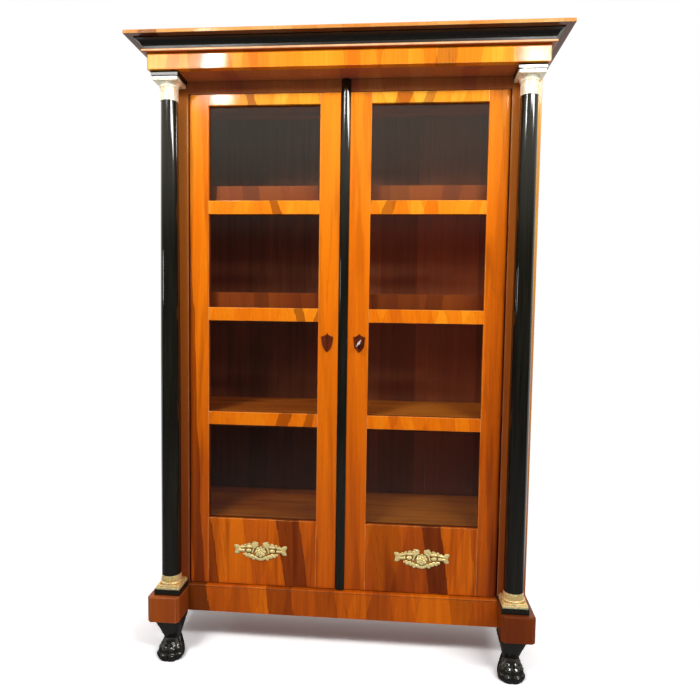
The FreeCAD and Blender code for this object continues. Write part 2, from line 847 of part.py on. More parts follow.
def make_column():
    """Tapered shaft, brass base and capital with square plates, and the black slabs."""
    shaft = new_body("column_shaft", (column_x, column_y, shaft_bottom_z))
    shaft_sketch = new_sketch(shaft, "shaft_profile", "XZ_Plane")
    draw(shaft_sketch, [
        (ZERO, ZERO, ZERO),
        (S.shaft_bottom_diameter / 2, ZERO, S.shaft_entasis),
        (S.shaft_top_diameter / 2, S.shaft_height, ZERO),
        (ZERO, S.shaft_height, ZERO),
    ])
    turn(shaft, shaft_sketch)
    keep_pair("column_shaft", shaft)

    half_plate = S.base_plate_width / 2
    base = profile_body(
        "column_base", "XY_Plane", rectangle(S.base_plate_width, S.base_plate_width), S.base_plate_height,
        (column_x - half_plate, column_y - half_plate, block_top_z + S.base_slab_height),
    )
    step_z = block_top_z + S.base_slab_height + S.base_plate_height
    half_step = S.base_step_width / 2
    step = box(
        "base_step", (column_x - half_step, column_y - half_step, step_z),
        (S.base_step_width, S.base_step_width, S.base_step_height),
    )
    turning_z = step_z + S.base_step_height
    base_turning = turned_piece(
        "base_moulding", BASE_PROFILE_SHARES, half_plate, shaft_bottom_z - turning_z, turning_z,
    )
    keep_pair("column_base", fuse("column_base_whole", [base, step, base_turning]))

    half_abacus = S.abacus_width / 2
    abacus = profile_body(
        "abacus", "XY_Plane", rectangle(S.abacus_width, S.abacus_width), S.abacus_height,
        (column_x - half_abacus, column_y - half_abacus, cap_slab_z - S.abacus_height),
    )
    bell = turned_piece(
        "capital_bell", CAPITAL_PROFILE_SHARES, half_abacus, S.capital_height - S.abacus_height, capital_z,
    )
    keep_pair("column_capital", fuse("column_capital_whole", [abacus, bell]))

    slabs = []
    slab_levels = {
        "base_slab": (S.base_slab_width, S.base_slab_height, block_top_z),
        "cap_slab": (S.cap_slab_width, S.cap_slab_height, cap_slab_z),
    }
    for name, (width, height, level) in slab_levels.items():
        corner = (column_x - width / 2, column_y - width / 2, level)
        slab = box(name, corner, (width, width, height))
        slabs += [slab, mirror(f"{name}_mirror", slab)]
    keep(group("slab_set", slabs), "column_slabs")


def turned_piece(name, shares, half_width, height, level):
    """A brass turning on the column's axis."""
    body = new_body(name, (column_x, column_y, level))
    sketch = new_sketch(body, f"{name}_profile", "XZ_Plane")
    draw(sketch, share_outline(shares, half_width, height))
    turn(body, sketch)
    return body


def make_door_frames():
    """Stiles, rails, glazing bars, panes and beads of the right door and their left-hand twins."""
    thickness = S.door_thickness
    lip = S.front_lip_depth
    rebate = S.rebate_width
    inset = S.pivot_inset
    width = S.hinge_stile_width
    hinge_outline = [
        (ZERO, ZERO, ZERO), (width - inset, ZERO, inset * QUARTER_SAGITTA_SHARE), (width, inset, ZERO),
        (width, thickness, ZERO), (rebate, thickness, ZERO), (rebate, lip, ZERO), (ZERO, lip, ZERO),
    ]
    hinge_stock = profile_body(
        "hinge_stile_stock", "XY_Plane", hinge_outline, door_height, (pane_outer_x, face_y, door_bottom_z),
    )
    hinge = cut("hinge_stile_cut", hinge_stock, group("pivot_recesses", make_pivot_recesses()))
    keep_door_pair("hinge_stile", hinge)

    make_closing_stiles()

    rail_low = door_top_z - S.top_rail_height
    keep_door_pair("top_rail", lapped_rail("top_rail", rail_low, door_top_z, rail_low + rebate, door_top_z))
    panel_high = door_bottom_z + S.bottom_panel_height
    keep_door_pair("bottom_panel", lapped_rail(
        "bottom_panel", door_bottom_z, panel_high, door_bottom_z, panel_high - rebate))

    half_bar = S.bar_height / 2
    bars = []
    openings = []
    low = panel_high
    for number in range(GLAZING_BARS):
        middle = door_bottom_z + S.lowest_bar_height + S.bar_pitch * number
        bars.append(lapped_rail(
            f"glazing_bar_{number}", middle - half_bar, middle + half_bar,
            middle - half_bar + rebate, middle + half_bar - rebate))
        openings.append((low, middle - half_bar))
        low = middle + half_bar
    openings.append((low, rail_low))
    keep_door_pair("glazing_bars", group("glazing_bar_set", bars))

    reach = rebate - S.pane_clearance
    panes = []
    beads = []
    pane_back = rebate_y + S.pane_thickness
    for number, (low, high) in enumerate(openings):
        low_corner = (pane_inner_x - reach, rebate_y, low - reach)
        high_corner = (pane_outer_x + reach, pane_back, high + reach)
        panes.append(span_box(f"pane_{number}", low_corner, high_corner))
        beads.append(make_glazing_bead(number, low - reach, high + reach, reach, pane_back))
    keep_door_pair("panes", group("pane_set", panes))
    keep_door_pair("glazing_beads", group("glazing_bead_set", beads))


def keep_door_pair(name, right_piece):
    """Keep a piece of the right door and its twin on the left door."""
    keep(right_piece, f"right_door_{name}")
    keep(mirror(f"left_door_{name}_mirror", right_piece), f"left_door_{name}")


def make_glazing_bead(number, low, high, reach, front):
    """A slim frame that holds one pane from behind."""
    width = S.glazing_bead_width
    back = front + S.glazing_bead_depth
    left = pane_inner_x - reach
    right = pane_outer_x + reach
    outer = span_box(f"bead_outer_{number}", (left, front, low), (right, back, high))
    inner = span_box(
        f"bead_inner_{number}", (left + width, front - S.overrun, low + width),
        (right - width, back + S.overrun, high - width),
    )
    return cut(f"glazing_bead_{number}", outer, inner)


def lapped_rail(name, low, high, back_low, back_high):
    """A rail between the stiles whose thinner back part laps into their rebates."""
    front = span_box(f"{name}_front", (pane_inner_x, face_y, low), (pane_outer_x, rebate_y, high))
    back = span_box(
        f"{name}_back", (pane_inner_x - S.rebate_width, rebate_y, back_low),
        (pane_outer_x + S.rebate_width, door_back_y, back_high),
    )
    return fuse(f"{name}_whole", [front, back])


def make_closing_stiles():
    """The right closing stile carries the lock under the astragal, the left one takes its bolt."""
    thickness = S.door_thickness
    lip = S.front_lip_depth
    rebate = S.rebate_width

    def stile_outline(width):
        return straight(
            (ZERO, ZERO), (width, ZERO), (width, lip), (width - rebate, lip),
            (width - rebate, thickness), (ZERO, thickness),
        )

    right_width = pane_inner_x + astragal_half
    right_stock = profile_body(
        "right_closing_stock", "XY_Plane", stile_outline(right_width), door_height,
        (-astragal_half, face_y, door_bottom_z),
    )
    lock_low, lock_high = lock_corners()
    lock_pocket = span_box("lock_pocket", lock_low, (lock_high[0], lock_high[1] + S.overrun, lock_high[2]))
    lock_mouth = span_box("lock_mouth", (lock_low[0] - S.overrun, lock_low[1], lock_low[2]), lock_high)
    backwards = FreeCAD.Rotation(FreeCAD.Vector(1, 0, 0), -RIGHT_ANGLE_DEG)
    key_hole = rod(
        "key_passage", (key_x, face_y - S.overrun, key_z), S.keyhole_width / 2,
        S.lock_depth + S.overrun, backwards,
    )
    lock_space = fuse("lock_space", [lock_pocket, lock_mouth, key_hole])
    keep(cut("right_closing_cut", right_stock, lock_space), "right_door_closing_stile")

    left_width = pane_inner_x - left_edge_x
    left_stock = profile_body(
        "left_closing_stock", "XY_Plane", stile_outline(left_width), door_height,
        (left_edge_x, face_y, door_bottom_z),
    )
    bolt_low, bolt_high = lock_bolt_corners()
    gap = S.running_gap
    mortise = span_box(
        "lock_mortise",
        (left_edge_x - S.overrun, bolt_low[1] - gap, bolt_low[2] - gap),
        (left_edge_x + S.lock_bolt_travel, bolt_high[1] + gap, bolt_high[2] + gap),
    )
    left_cut = cut("left_closing_cut", left_stock, mortise)
    keep(mirror("left_closing_mirror", left_cut), "left_door_closing_stile")


def make_pivot_recesses():
    """Recesses for the pivot plates and clearance for the pins in the ends of a hinge stile."""
    radius = S.pin_diameter / 2 + S.running_gap
    bore_depth = S.pin_reach + S.running_gap
    tools = []
    for end, plate_low, bore_low in (
        ("bottom", door_bottom_z, door_bottom_z),
        ("top", door_top_z - S.pivot_plate_thickness, door_top_z - bore_depth),
    ):
        plate = pivot_plate_block(f"{end}_plate_recess", plate_low)
        bore = rod(f"{end}_pin_bore", (pivot_x, pivot_y, bore_low), radius, bore_depth)
        tools.append(fuse(f"{end}_pivot_recess", [plate, bore]))
    return tools


def pivot_plate_block(name, low_z):
    """The block that a pivot plate fills."""
    corner = (
        pivot_x + S.pivot_inset * PIVOT_PLATE_HEAD_SHARE - S.pivot_plate_length,
        pivot_y - S.pivot_plate_width / 2,
        low_z,
    )
    return box(name, corner, (S.pivot_plate_length, S.pivot_plate_width, S.pivot_plate_thickness))


def make_pivots():
    """Bored brass plates in the door edges and collared steel pins in the fixed rails."""
    thickness = S.pivot_plate_thickness
    radius = S.pin_diameter / 2
    plates = []
    pins = []
    reach = S.pin_reach
    ends = (
        ("bottom", door_bottom_z, bottom_board_z - S.pin_seat, bottom_board_z),
        ("top", door_top_z - thickness, door_top_z - reach, door_top_z + S.running_gap),
    )
    collar_height = S.door_gap - S.running_gap
    for end, plate_low, pin_low, collar_low in ends:
        block = pivot_plate_block(f"{end}_pivot_plate_block", plate_low)
        bore = rod(
            f"{end}_pivot_bore", (pivot_x, pivot_y, plate_low - S.overrun), radius + S.pin_fit,
            thickness + S.overrun * 2,
        )
        plates.append(cut(f"{end}_pivot_plate", block, bore))
        pin = rod(f"{end}_pin_rod", (pivot_x, pivot_y, pin_low), radius, S.pin_seat + S.door_gap + reach)
        collar = rod(f"{end}_collar", (pivot_x, pivot_y, collar_low), S.pin_collar_diameter / 2, collar_height)
        pins.append(fuse(f"{end}_pin", [pin, collar]))
    keep_door_pair("pivot_plates", group("pivot_plate_set", plates))
    mirrors = [mirror(f"{pin.Name}_mirror", pin) for pin in pins]
    keep(group("pivot_pin_set", [*pins, *mirrors]), "pivot_pins")


def make_astragal():
    """The black half-round strip on the right door's meeting edge, run up before the head rail."""
    width = S.astragal_width
    depth = S.astragal_depth
    edge = S.astragal_edge
    crown = depth - edge
    outline = [(ZERO, crown, crown), (width, crown, ZERO), (width, depth, ZERO), (ZERO, depth, ZERO)]
    length = soffit_z - S.astragal_top_gap - door_bottom_z
    keep(profile_body(
        "astragal", "XY_Plane", outline, length, (-astragal_half, face_y - depth, door_bottom_z),
    ), "right_door_astragal")


def half_outline(shares, width, height):
    """A symmetric outline from the shares of its right half, run anticlockwise in a positive frame."""
    middle = width / 2
    centre = height / 2
    right = [(middle + width * across, centre + height * up, height * bulge) for across, up, bulge in shares]
    left = []
    for index in range(len(shares) - 2, 0, -1):
        across, up, bulge = shares[index]
        left.append((middle - width * across, centre + height * up, height * shares[index - 1][2]))
    last_bulge = height * shares[-2][2]
    bottom = (right[-1][0], right[-1][1], last_bulge)
    clockwise = [*right[:-1], bottom, *left]
    count = len(clockwise)
    return [
        (clockwise[-index][0], clockwise[-index][1], clockwise[(-index - 1) % count][2])
        for index in range(count)
    ]


def make_escutcheons():
    """Pointed shields, the right one pierced for the key."""
    width = S.escutcheon_width
    height = S.escutcheon_height
    corner = (key_x - width / 2, face_y, key_z - height / 2)
    outline = half_outline(SHIELD_SHARES, width, height)
    blind = profile_body("blind_shield", "XZ_Plane", outline, S.escutcheon_thickness, corner)
    keep(mirror("left_shield_mirror", blind), "left_door_escutcheon")

    pierced = profile_body("pierced_shield", "XZ_Plane", outline, S.escutcheon_thickness, corner)
    forwards = FreeCAD.Rotation(FreeCAD.Vector(1, 0, 0), RIGHT_ANGLE_DEG)
    depth = S.escutcheon_thickness + S.overrun * 2
    eye = rod("keyhole_eye", (key_x, face_y + S.overrun, key_z), S.keyhole_width / 2, depth, forwards)
    slot = box(
        "keyhole_slot",
        (key_x - S.keyhole_width / 4, face_y - S.escutcheon_thickness - S.overrun, key_z - S.keyhole_length),
        (S.keyhole_width / 2, depth, S.keyhole_length),
    )
    keep(cut("right_shield_cut", pierced, fuse("keyhole", [eye, slot])), "right_door_escutcheon")


def make_mount():
    """Gilt mount on the bottom panel: a leafy plate with raised rosettes."""
    width = S.mount_width
    height = S.mount_height
    middle_z = door_bottom_z + S.mount_height_above_door
    plate = profile_body(
        "mount_plate", "XZ_Plane", half_outline(MOUNT_OUTLINE_SHARES, width, height), S.mount_plate,
        (S.mount_setoff - width / 2, face_y, middle_z - height / 2),
    )
    buttons = []
    for number, (across, up, base, crown, relief) in enumerate(MOUNT_BUTTON_SHARES):
        for side in ((-1, 1) if across else (1,)):
            button = doc.addObject("Part::Cone", f"mount_button_{number}_{side + 1}")
            button.setExpression("Radius1", (width * base).text)
            button.setExpression("Radius2", (width * crown).text)
            button.setExpression("Height", (S.mount_relief * relief).text)
            button.Placement = FreeCAD.Placement(
                FreeCAD.Vector(), FreeCAD.Rotation(FreeCAD.Vector(1, 0, 0), RIGHT_ANGLE_DEG))
            place(button, (S.mount_setoff + width * (across * side), face_y, middle_z + height * up))
            buttons.append(button)
    keep_door_pair("mount", fuse("mount_whole", [plate, *buttons]))


def lock_corners():
    """The low and high corners of the lock case, let into the back of the right closing stile."""
    middle = key_z + S.lock_bolt_rise / 2
    low = (-astragal_half, door_back_y - S.lock_depth, middle - S.lock_tall / 2)
    high = (S.lock_length - astragal_half, door_back_y, middle + S.lock_tall / 2)
    return low, high


def lock_bolt_corners():
    """The low and high corners of the lock bolt, drawn back, in right-door coordinates."""
    wall = S.lock_wall
    middle_y = door_back_y - (S.lock_depth + wall) / 2
    half_thickness = S.lock_bolt_thickness / 2
    half_height = S.lock_bolt_height / 2
    middle_z = key_z + S.lock_bolt_rise
    start = S.lock_bolt_inset - astragal_half
    low = (start, middle_y - half_thickness, middle_z - half_height)
    high = (start + S.lock_bolt_length, middle_y + half_thickness, middle_z + half_height)
    return low, high


def make_lock():
    """An open-fronted lock case in the stile, its sliding bolt, and the key that throws it."""
    low, high = lock_corners()
    wall = S.lock_wall
    gap = S.running_gap
    shell = span_box("lock_shell", low, high)
    hollow = span_box(
        "lock_hollow", (low[0] + wall, low[1] - S.overrun, low[2] + wall),
        (high[0] - wall, high[1] - wall, high[2] - wall),
    )
    bolt_low, bolt_high = lock_bolt_corners()
    mouth = span_box(
        "bolt_mouth", (low[0] - S.overrun, bolt_low[1] - gap, bolt_low[2] - gap),
        (low[0] + wall + S.overrun, bolt_high[1] + gap, bolt_high[2] + gap),
    )
    backwards = FreeCAD.Rotation(FreeCAD.Vector(1, 0, 0), -RIGHT_ANGLE_DEG)
    bearing = rod(
        "key_bearing", (key_x, door_back_y - wall - S.overrun, key_z),
        S.key_shank_diameter / 2 + S.pin_fit, wall + S.overrun * 2, backwards,
    )
    keep(cut("lock_case_cut", shell, fuse("lock_spaces", [hollow, mouth, bearing])), "lock_case")
    keep(span_box("lock_bolt_bar", bolt_low, bolt_high), "lock_bolt")
    make_key()


def make_key():
    """A bow key in the lock: ring bow, round shank and a flag bit, turned a little from upright."""
    radius = S.key_shank_diameter / 2
    tip_y = S.door_thickness - S.running_gap
    start_y = -S.key_standout
    bow_radius = S.key_bow_diameter / 2
    wire = S.key_bow_thickness / 2
    forwards = FreeCAD.Rotation(FreeCAD.Vector(1, 0, 0), -RIGHT_ANGLE_DEG)
    shank = rod("key_shank", (ZERO, start_y, ZERO), radius, tip_y - start_y, forwards)
    collar = rod("key_collar", (ZERO, start_y, ZERO), radius + wire / 2, wire * 2, forwards)
    bow = doc.addObject("Part::Torus", "key_bow")
    bow.setExpression("Radius1", (bow_radius - wire).text)
    bow.setExpression("Radius2", wire.text)
    upright = FreeCAD.Rotation(FreeCAD.Vector(0, 1, 0), RIGHT_ANGLE_DEG)
    bow.Placement = FreeCAD.Placement(FreeCAD.Vector(), upright)
    place(bow, (ZERO, start_y - bow_radius + wire * 2, ZERO))
    bit_y = S.door_thickness - S.lock_wall - S.running_gap - S.key_bit_length
    bit = box(
        "key_bit", (-(S.key_bit_thickness / 2), bit_y, -S.key_bit_reach),
        (S.key_bit_thickness, S.key_bit_length, S.key_bit_reach),
    )
    key = fuse("key_whole", [shank, collar, bow, bit])
    key.Placement.Rotation = FreeCAD.Rotation(FreeCAD.Vector(0, 1, 0), KEY_TILT_DEG)
    place(key, (key_x, face_y, key_z))
    keep(key, "key")


def slide_socket(name, low_z, height):
    """A square socket in a fixed rail for a bolt of the left door."""
    gap = S.running_gap
    low, high = slide_bolt_section()
    return span_box(name, (low[0] - gap, low[1] - gap, low_z), (high[0] + gap, high[1] + gap, low_z + height))


def slide_bolt_section():
    """The low and high corners of a slide bolt's bar across, on the left door's closing stile."""
    bar_y = door_back_y + S.slide_plate_thickness + S.running_gap
    middle = -S.slide_bolt_setoff
    half = S.slide_bolt_width / 2
    return (middle - half, bar_y), (middle + half, bar_y + S.slide_bolt_thickness)


def make_slide_bolts():
    """Top and bottom bolts on the back of the left door, drawn back, with plates and staples."""
    low, high = slide_bolt_section()
    length = S.slide_bolt_length
    fittings = []
    levels = {
        "top_bolt": door_top_z - S.slide_bolt_inset - length,
        "bottom_bolt": door_bottom_z + S.slide_bolt_inset,
    }
    away = FreeCAD.Rotation(FreeCAD.Vector(1, 0, 0), -RIGHT_ANGLE_DEG)
    for name, start in levels.items():
        bar = span_box(f"{name}_bar", (low[0], low[1], start), (high[0], high[1], start + length))
        knob = rod(
            f"{name}_knob", (-S.slide_bolt_setoff, high[1], start + length / 2),
            S.slide_knob_diameter / 2, S.slide_knob_height, away,
        )
        keep(fuse(f"{name}_whole", [bar, knob]), f"left_door_{name}")
        fittings.append(make_slide_plate(name, low, high, start, length))
    keep(group("slide_fittings", fittings), "left_door_bolt_staples")


def make_slide_plate(name, low, high, start, length):
    """The plate behind a slide bolt with two staples bent over its bar."""
    gap = S.running_gap
    wall = S.staple_wall
    margin = S.slide_plate_margin
    plate = span_box(
        f"{name}_plate", (low[0] - margin, door_back_y, start),
        (high[0] + margin, door_back_y + S.slide_plate_thickness, start + length),
    )
    pieces = [plate]
    reach = S.slide_bolt_travel + S.staple_width
    for end, level in (("low", start + reach), ("high", start + length - reach - S.staple_width)):
        outer = span_box(
            f"{name}_{end}_staple_block", (low[0] - gap - wall, door_back_y, level),
            (high[0] + gap + wall, high[1] + gap + wall, level + S.staple_width),
        )
        way = span_box(
            f"{name}_{end}_staple_way", (low[0] - gap, door_back_y - S.overrun, level - S.overrun),
            (high[0] + gap, high[1] + gap, level + S.staple_width + S.overrun),
        )
        pieces.append(cut(f"{name}_{end}_staple", outer, way))
    return fuse(f"{name}_fitting", pieces)


def check_and_write():
    """Stop on any failed object, then write one file for each sub-part."""
    doc.recompute()
    failed = [item.Name for item in doc.Objects if "Invalid" in item.State or "Error" in item.State]
    broken = [name for name, piece in nodes.items() if piece.Shape.isNull() or not piece.Shape.isValid()]
    if failed or broken:
        raise RuntimeError(f"failed objects {failed}, broken shapes {broken}")
    for name, piece in nodes.items():
        piece.Shape.exportStep(f"parts/{name}.step")
        print(name, len(piece.Shape.Solids), "solids")


make_paw_foot()
make_rear_feet()
make_plinth()
make_case()
make_shelves()
make_cornice()
make_column()
make_door_frames()
make_pivots()
make_astragal()
make_escutcheons()
make_mount()
make_lock()
make_slide_bolts()
check_and_write()
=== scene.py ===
import json
import math

import bpy
from mathutils import Matrix, Vector


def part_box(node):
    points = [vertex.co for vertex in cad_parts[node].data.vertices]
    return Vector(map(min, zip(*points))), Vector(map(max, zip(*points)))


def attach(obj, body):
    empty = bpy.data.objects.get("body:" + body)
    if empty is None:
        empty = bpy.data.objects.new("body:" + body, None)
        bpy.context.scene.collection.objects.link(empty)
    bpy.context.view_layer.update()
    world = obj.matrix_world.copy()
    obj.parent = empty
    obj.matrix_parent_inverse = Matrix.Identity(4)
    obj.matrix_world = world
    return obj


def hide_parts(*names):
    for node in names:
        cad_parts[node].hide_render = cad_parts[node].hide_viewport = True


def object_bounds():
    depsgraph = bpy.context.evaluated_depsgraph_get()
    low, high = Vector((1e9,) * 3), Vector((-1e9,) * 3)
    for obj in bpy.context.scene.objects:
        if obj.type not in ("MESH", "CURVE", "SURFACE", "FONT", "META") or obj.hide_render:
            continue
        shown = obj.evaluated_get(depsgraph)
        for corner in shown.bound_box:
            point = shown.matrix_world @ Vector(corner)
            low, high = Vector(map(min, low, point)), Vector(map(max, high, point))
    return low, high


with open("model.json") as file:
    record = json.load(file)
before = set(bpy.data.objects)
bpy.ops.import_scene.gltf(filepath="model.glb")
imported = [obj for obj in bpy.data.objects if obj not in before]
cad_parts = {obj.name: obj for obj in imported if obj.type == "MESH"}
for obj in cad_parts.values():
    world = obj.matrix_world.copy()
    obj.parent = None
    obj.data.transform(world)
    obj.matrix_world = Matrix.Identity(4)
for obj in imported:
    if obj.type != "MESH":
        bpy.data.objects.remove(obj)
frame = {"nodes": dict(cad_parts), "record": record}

cad_low, cad_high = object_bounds()
nodes = frame["nodes"]

MM = 0.001
EDGE_RADIUS = 3.2 * MM
BLOCK_EDGE_RADIUS = 5 * MM
SHARP_ANGLE = math.radians(42)
SIDES = ("left", "right")


def tone(red, green, blue):
    """A colour written in everyday 0 to 255 values, as the linear one that shaders take."""
    def linear(level):
        share = level / 255
        return share / 12.92 if share <= 0.04045 else ((share + 0.055) / 1.055) ** 2.4
    return (linear(red), linear(green), linear(blue), 1.0)


# Tones from dark to pale, each with its place on a ramp
CHERRY_TONES = [
    (0.00, tone(150, 62, 16)),
    (0.30, tone(204, 93, 13)),
    (0.55, tone(234, 118, 12)),
    (0.80, tone(246, 150, 27)),
    (1.00, tone(251, 182, 54)),
]
EBONISED_TONES = [(0.3, tone(15, 14, 10)), (0.75, tone(33, 31, 24))]
SHELF_TONES = [(0.36, tone(184, 76, 14)), (0.86, tone(255, 154, 50))]
INSIDE_TONES = [(0.4, tone(110, 46, 20)), (0.78, tone(168, 84, 34))]
BACK_INNER_TONES = [(0.3, tone(106, 59, 37)), (1.0, tone(190, 112, 72))]
BACK_OUTER_TONES = [(0.3, tone(138, 100, 64)), (0.9, tone(204, 164, 116))]
INLAY_TONES = [(0.3, tone(72, 22, 8)), (0.7, tone(114, 46, 22))]
STEEL_TONES = [(0.3, tone(110, 96, 82)), (0.6, tone(178, 172, 164))]
# Near-white key steel: a painted glint
KEY_PAINTED_GLINT_TONES = [(0.3, tone(214, 210, 204)), (0.6, tone(253, 252, 250))]
GILT_TONES = [(0.18, tone(84, 46, 12)), (0.44, tone(216, 146, 64)), (0.66, tone(252, 200, 112))]
GILT_CROWN_AT = 0.98
GILT_CROWN = tone(255, 240, 180)
MOUNT_CROWN = tone(255, 236, 164)
# Near-white crown of the capitals' gilt: painted light
CAPITAL_PAINTED_LIGHT_CROWN = tone(254, 247, 222)

# Single tones
# Edge tones: wear on the arrises, and a painted highlight along them
PALE_WEAR_AND_HIGHLIGHT = tone(251, 182, 108)
BROWN_WEAR_AND_HIGHLIGHT = tone(236, 164, 124)
DARK_WEAR_AND_HIGHLIGHT = tone(160, 92, 56)
# Painted highlight along the bead's crown
BEAD_PAINTED_HIGHLIGHT = tone(246, 190, 142)
PORE_BROWN = tone(170, 120, 90)
# Painted shade inside the keyhole
KEYHOLE_PAINTED_SHADE = tone(16, 9, 6)
GLASS_TINT = tone(249, 250, 248)

# Stains, which multiply the colour of a wood; some of them are painted shade or painted light, as noted
HEARTWOOD = (0.42, 0.38, 0.70, 1)
FLAME_BROWN = (0.46, 0.36, 0.6, 1)
# Painted shadow of the left plinth block on the end of the front rail
BLOCK_PAINTED_SHADOW = (0.22, 0.26, 0.9, 1)
JOINT_BROWN = (0.36, 0.30, 0.60, 1)
TOP_EDGE_STAIN = (0.72, 1.10, 8.5, 1)
# Painted shade on the underside of the cornice top
UNDERSIDE_PAINTED_SHADE = (0.30, 0.26, 0.4, 1)
BEAD_STAIN = (0.40, 0.34, 1.4, 1)
# Painted shade beside the door and painted light outside the column, on the pilasters
POST_INNER_PAINTED_SHADE = (0.6, 0.68, 4.0, 1)
POST_OUTER_PAINTED_LIGHT = (1.1, 2.0, 14.0, 1)
# Painted shade on the shelves' front lips
LIP_PAINTED_SHADE = (0.50, 0.46, 1.4, 1)
# Darkens the back boards towards the bottom, and as painted shade at their top
DARKENING_AND_PAINTED_SHADE = (0.40, 0.42, 0.45, 1)
# Painted shade, greyed, for the soffit and head rail
PAINTED_SHADE_UMBER = (0.65, 0.95, 13.0, 1)
RUSSET = (0.93, 1.12, 2.2, 1)
# Painted shade for the right plinth block
RIGHT_BLOCK_PAINTED_SHADE = (0.43, 0.46, 1.3, 1)

# Layout of the veneers
BAND_SLOPES = (0.10, -0.15)
# Where the painted shadow on the front rail ends, past the left block
PAINTED_SHADOW_SHIFT = 0.14
PAINTED_SHADOW_WIDTH = 60 * MM
# Span of the painted light on the pilasters, out from the column's middle
POST_PAINTED_LIGHT_SPAN = (18 * MM, 34 * MM)
PLANK_WIDTH = 0.11
# Place and reach of the painted shade in the keyhole
KEYHOLE_DROP = 7 * MM
KEYHOLE_REACH = 15 * MM

# How far the mounts' hollows and heights stand in front of their back plane; the gilt runs from dark with dirt
# and painted shade in the hollows to pale on the heights
MOUNT_HOLLOW = 1.2 * MM
MOUNT_HEIGHT = 4.2 * MM


class Tree:
    """Short calls for building the nodes of one material or of the world."""

    def __init__(self, owner):
        owner.use_nodes = True
        self.owner = owner
        self.nodes = owner.node_tree.nodes
        self.links = owner.node_tree.links
        self.shader = self.nodes.get("Principled BSDF") or self.nodes.get("Background")
        self.output = self.nodes.get("Material Output") or self.nodes.get("World Output")
        self.place = self.add("ShaderNodeTexCoord").outputs["Object"]
        self.eased = None

    def add(self, kind, sockets=None, **settings):
        node = self.nodes.new(kind)
        for key, value in settings.items():
            setattr(node, key, value)
        for key, value in (sockets or {}).items():
            self.feed(node.inputs[key], value)
        return node

    def feed(self, socket, value):
        if isinstance(value, bpy.types.NodeSocket):
            self.links.new(value, socket)
        else:
            socket.default_value = value

    def mapped(self, scale, offset=(0, 0, 0), place=None):
        sockets = {"Vector": place or self.place, "Scale": scale, "Location": offset}
        return self.add("ShaderNodeMapping", sockets).outputs["Vector"]

    def noise(self, vector, detail=4.0, distortion=0.0):
        sockets = {"Vector": vector, "Scale": 1.0, "Detail": detail, "Distortion": distortion}
        return self.add("ShaderNodeTexNoise", sockets).outputs["Fac"]

    def math(self, operation, first, second=0.0):
        return self.add("ShaderNodeMath", {0: first, 1: second}, operation=operation).outputs[0]

    def vector_math(self, operation, first, second=(0, 0, 0)):
        return self.add("ShaderNodeVectorMath", {0: first, 1: second}, operation=operation).outputs

    def parts(self, vector):
        """The numbers of a vector, by axis."""
        return self.add("ShaderNodeSeparateXYZ", {"Vector": vector}).outputs

    def facing(self, axis):
        """How far a surface faces along an axis, from minus one to one."""
        return self.parts(self.add("ShaderNodeNewGeometry").outputs["Normal"])[axis]

    def total(self, *terms):
        """The sum of values, each with its weight."""
        whole = 0.0
        for value, weight in terms:
            whole = self.math("ADD", whole, self.math("MULTIPLY", value, weight))
        return whole

    def ramp(self, fac, stops):
        node = self.add("ShaderNodeValToRGB", {"Fac": fac})
        elements = node.color_ramp.elements
        while len(elements) < len(stops):
            elements.new(0.5)
        for element, (position, colour) in zip(elements, stops):
            element.position = position
            element.color = colour
        return node.outputs["Color"]

    def mix(self, fac, first, second, blend="MIX"):
        node = self.add("ShaderNodeMix", data_type="RGBA", blend_type=blend)
        for key, value in zip((0, 6, 7), (fac, first, second)):
            self.feed(node.inputs[key], value)
        return node.outputs[2]

    def stained(self, colour, stain, share=1.0):
        """A colour multiplied by a stain, where its share is one; in some materials the stain is painted shade
        or painted light.
        """
        return self.mix(share, colour, stain, "MULTIPLY")

    def span(self, value, start, end, low=0.0, high=1.0, smooth=False):
        """A value between start and end, as one between low and high."""
        sockets = {"Value": value, "From Min": start, "From Max": end, "To Min": low, "To Max": high}
        kind = "SMOOTHSTEP" if smooth else "LINEAR"
        return self.add("ShaderNodeMapRange", sockets, interpolation_type=kind).outputs["Result"]

    def rounded(self, radius):
        """The way a surface faces, eased at its edges."""
        if self.eased is None:
            self.eased = self.add("ShaderNodeBevel", {"Radius": radius}, samples=4).outputs["Normal"]
        return self.eased

    def edges(self, radius=EDGE_RADIUS):
        """One along the edges, zero on the flats."""
        flat = self.add("ShaderNodeNewGeometry").outputs["Normal"]
        agreement = self.vector_math("DOT_PRODUCT", self.rounded(radius), flat)["Value"]
        return self.span(agreement, 0.99, 0.82)

    def relief(self, height, strength, depth, edge_radius=EDGE_RADIUS):
        """A bump on a surface with eased edges."""
        sockets = {"Height": height, "Strength": strength, "Distance": depth}
        sockets["Normal"] = self.rounded(edge_radius)
        self.feed(self.shader.inputs["Normal"], self.add("ShaderNodeBump", sockets).outputs["Normal"])

    def finish(self, **sockets):
        for key, value in sockets.items():
            self.feed(self.shader.inputs[key.replace("_", " ")], value)
        return self.owner

    def finish_mixed(self, share, first, second):
        """End with a mix of two shaders in place of the usual one."""
        sockets = {0: share, 1: first.outputs[0], 2: second.outputs[0]}
        mixed = self.add("ShaderNodeMixShader", sockets)
        self.links.new(mixed.outputs[0], self.output.inputs["Surface"])
        self.nodes.remove(self.shader)
        return self.owner


def new_tree(name):
    return Tree(bpy.data.materials.new(name))


def bands(tree, run, width, feature="F1"):
    """Bands of uneven width along a run: a random colour for each, or the distance to the nearest joint."""
    sockets = {"W": run, "Scale": 1 / width, "Randomness": 1.0}
    return tree.add("ShaderNodeTexVoronoi", sockets, voronoi_dimensions="1D", feature=feature).outputs


def band_picks(tree, run, width):
    """Three random numbers for each band, by the names of a colour's parts."""
    sockets = {"Color": bands(tree, run, width)["Color"]}
    return tree.add("ShaderNodeSeparateColor", sockets).outputs


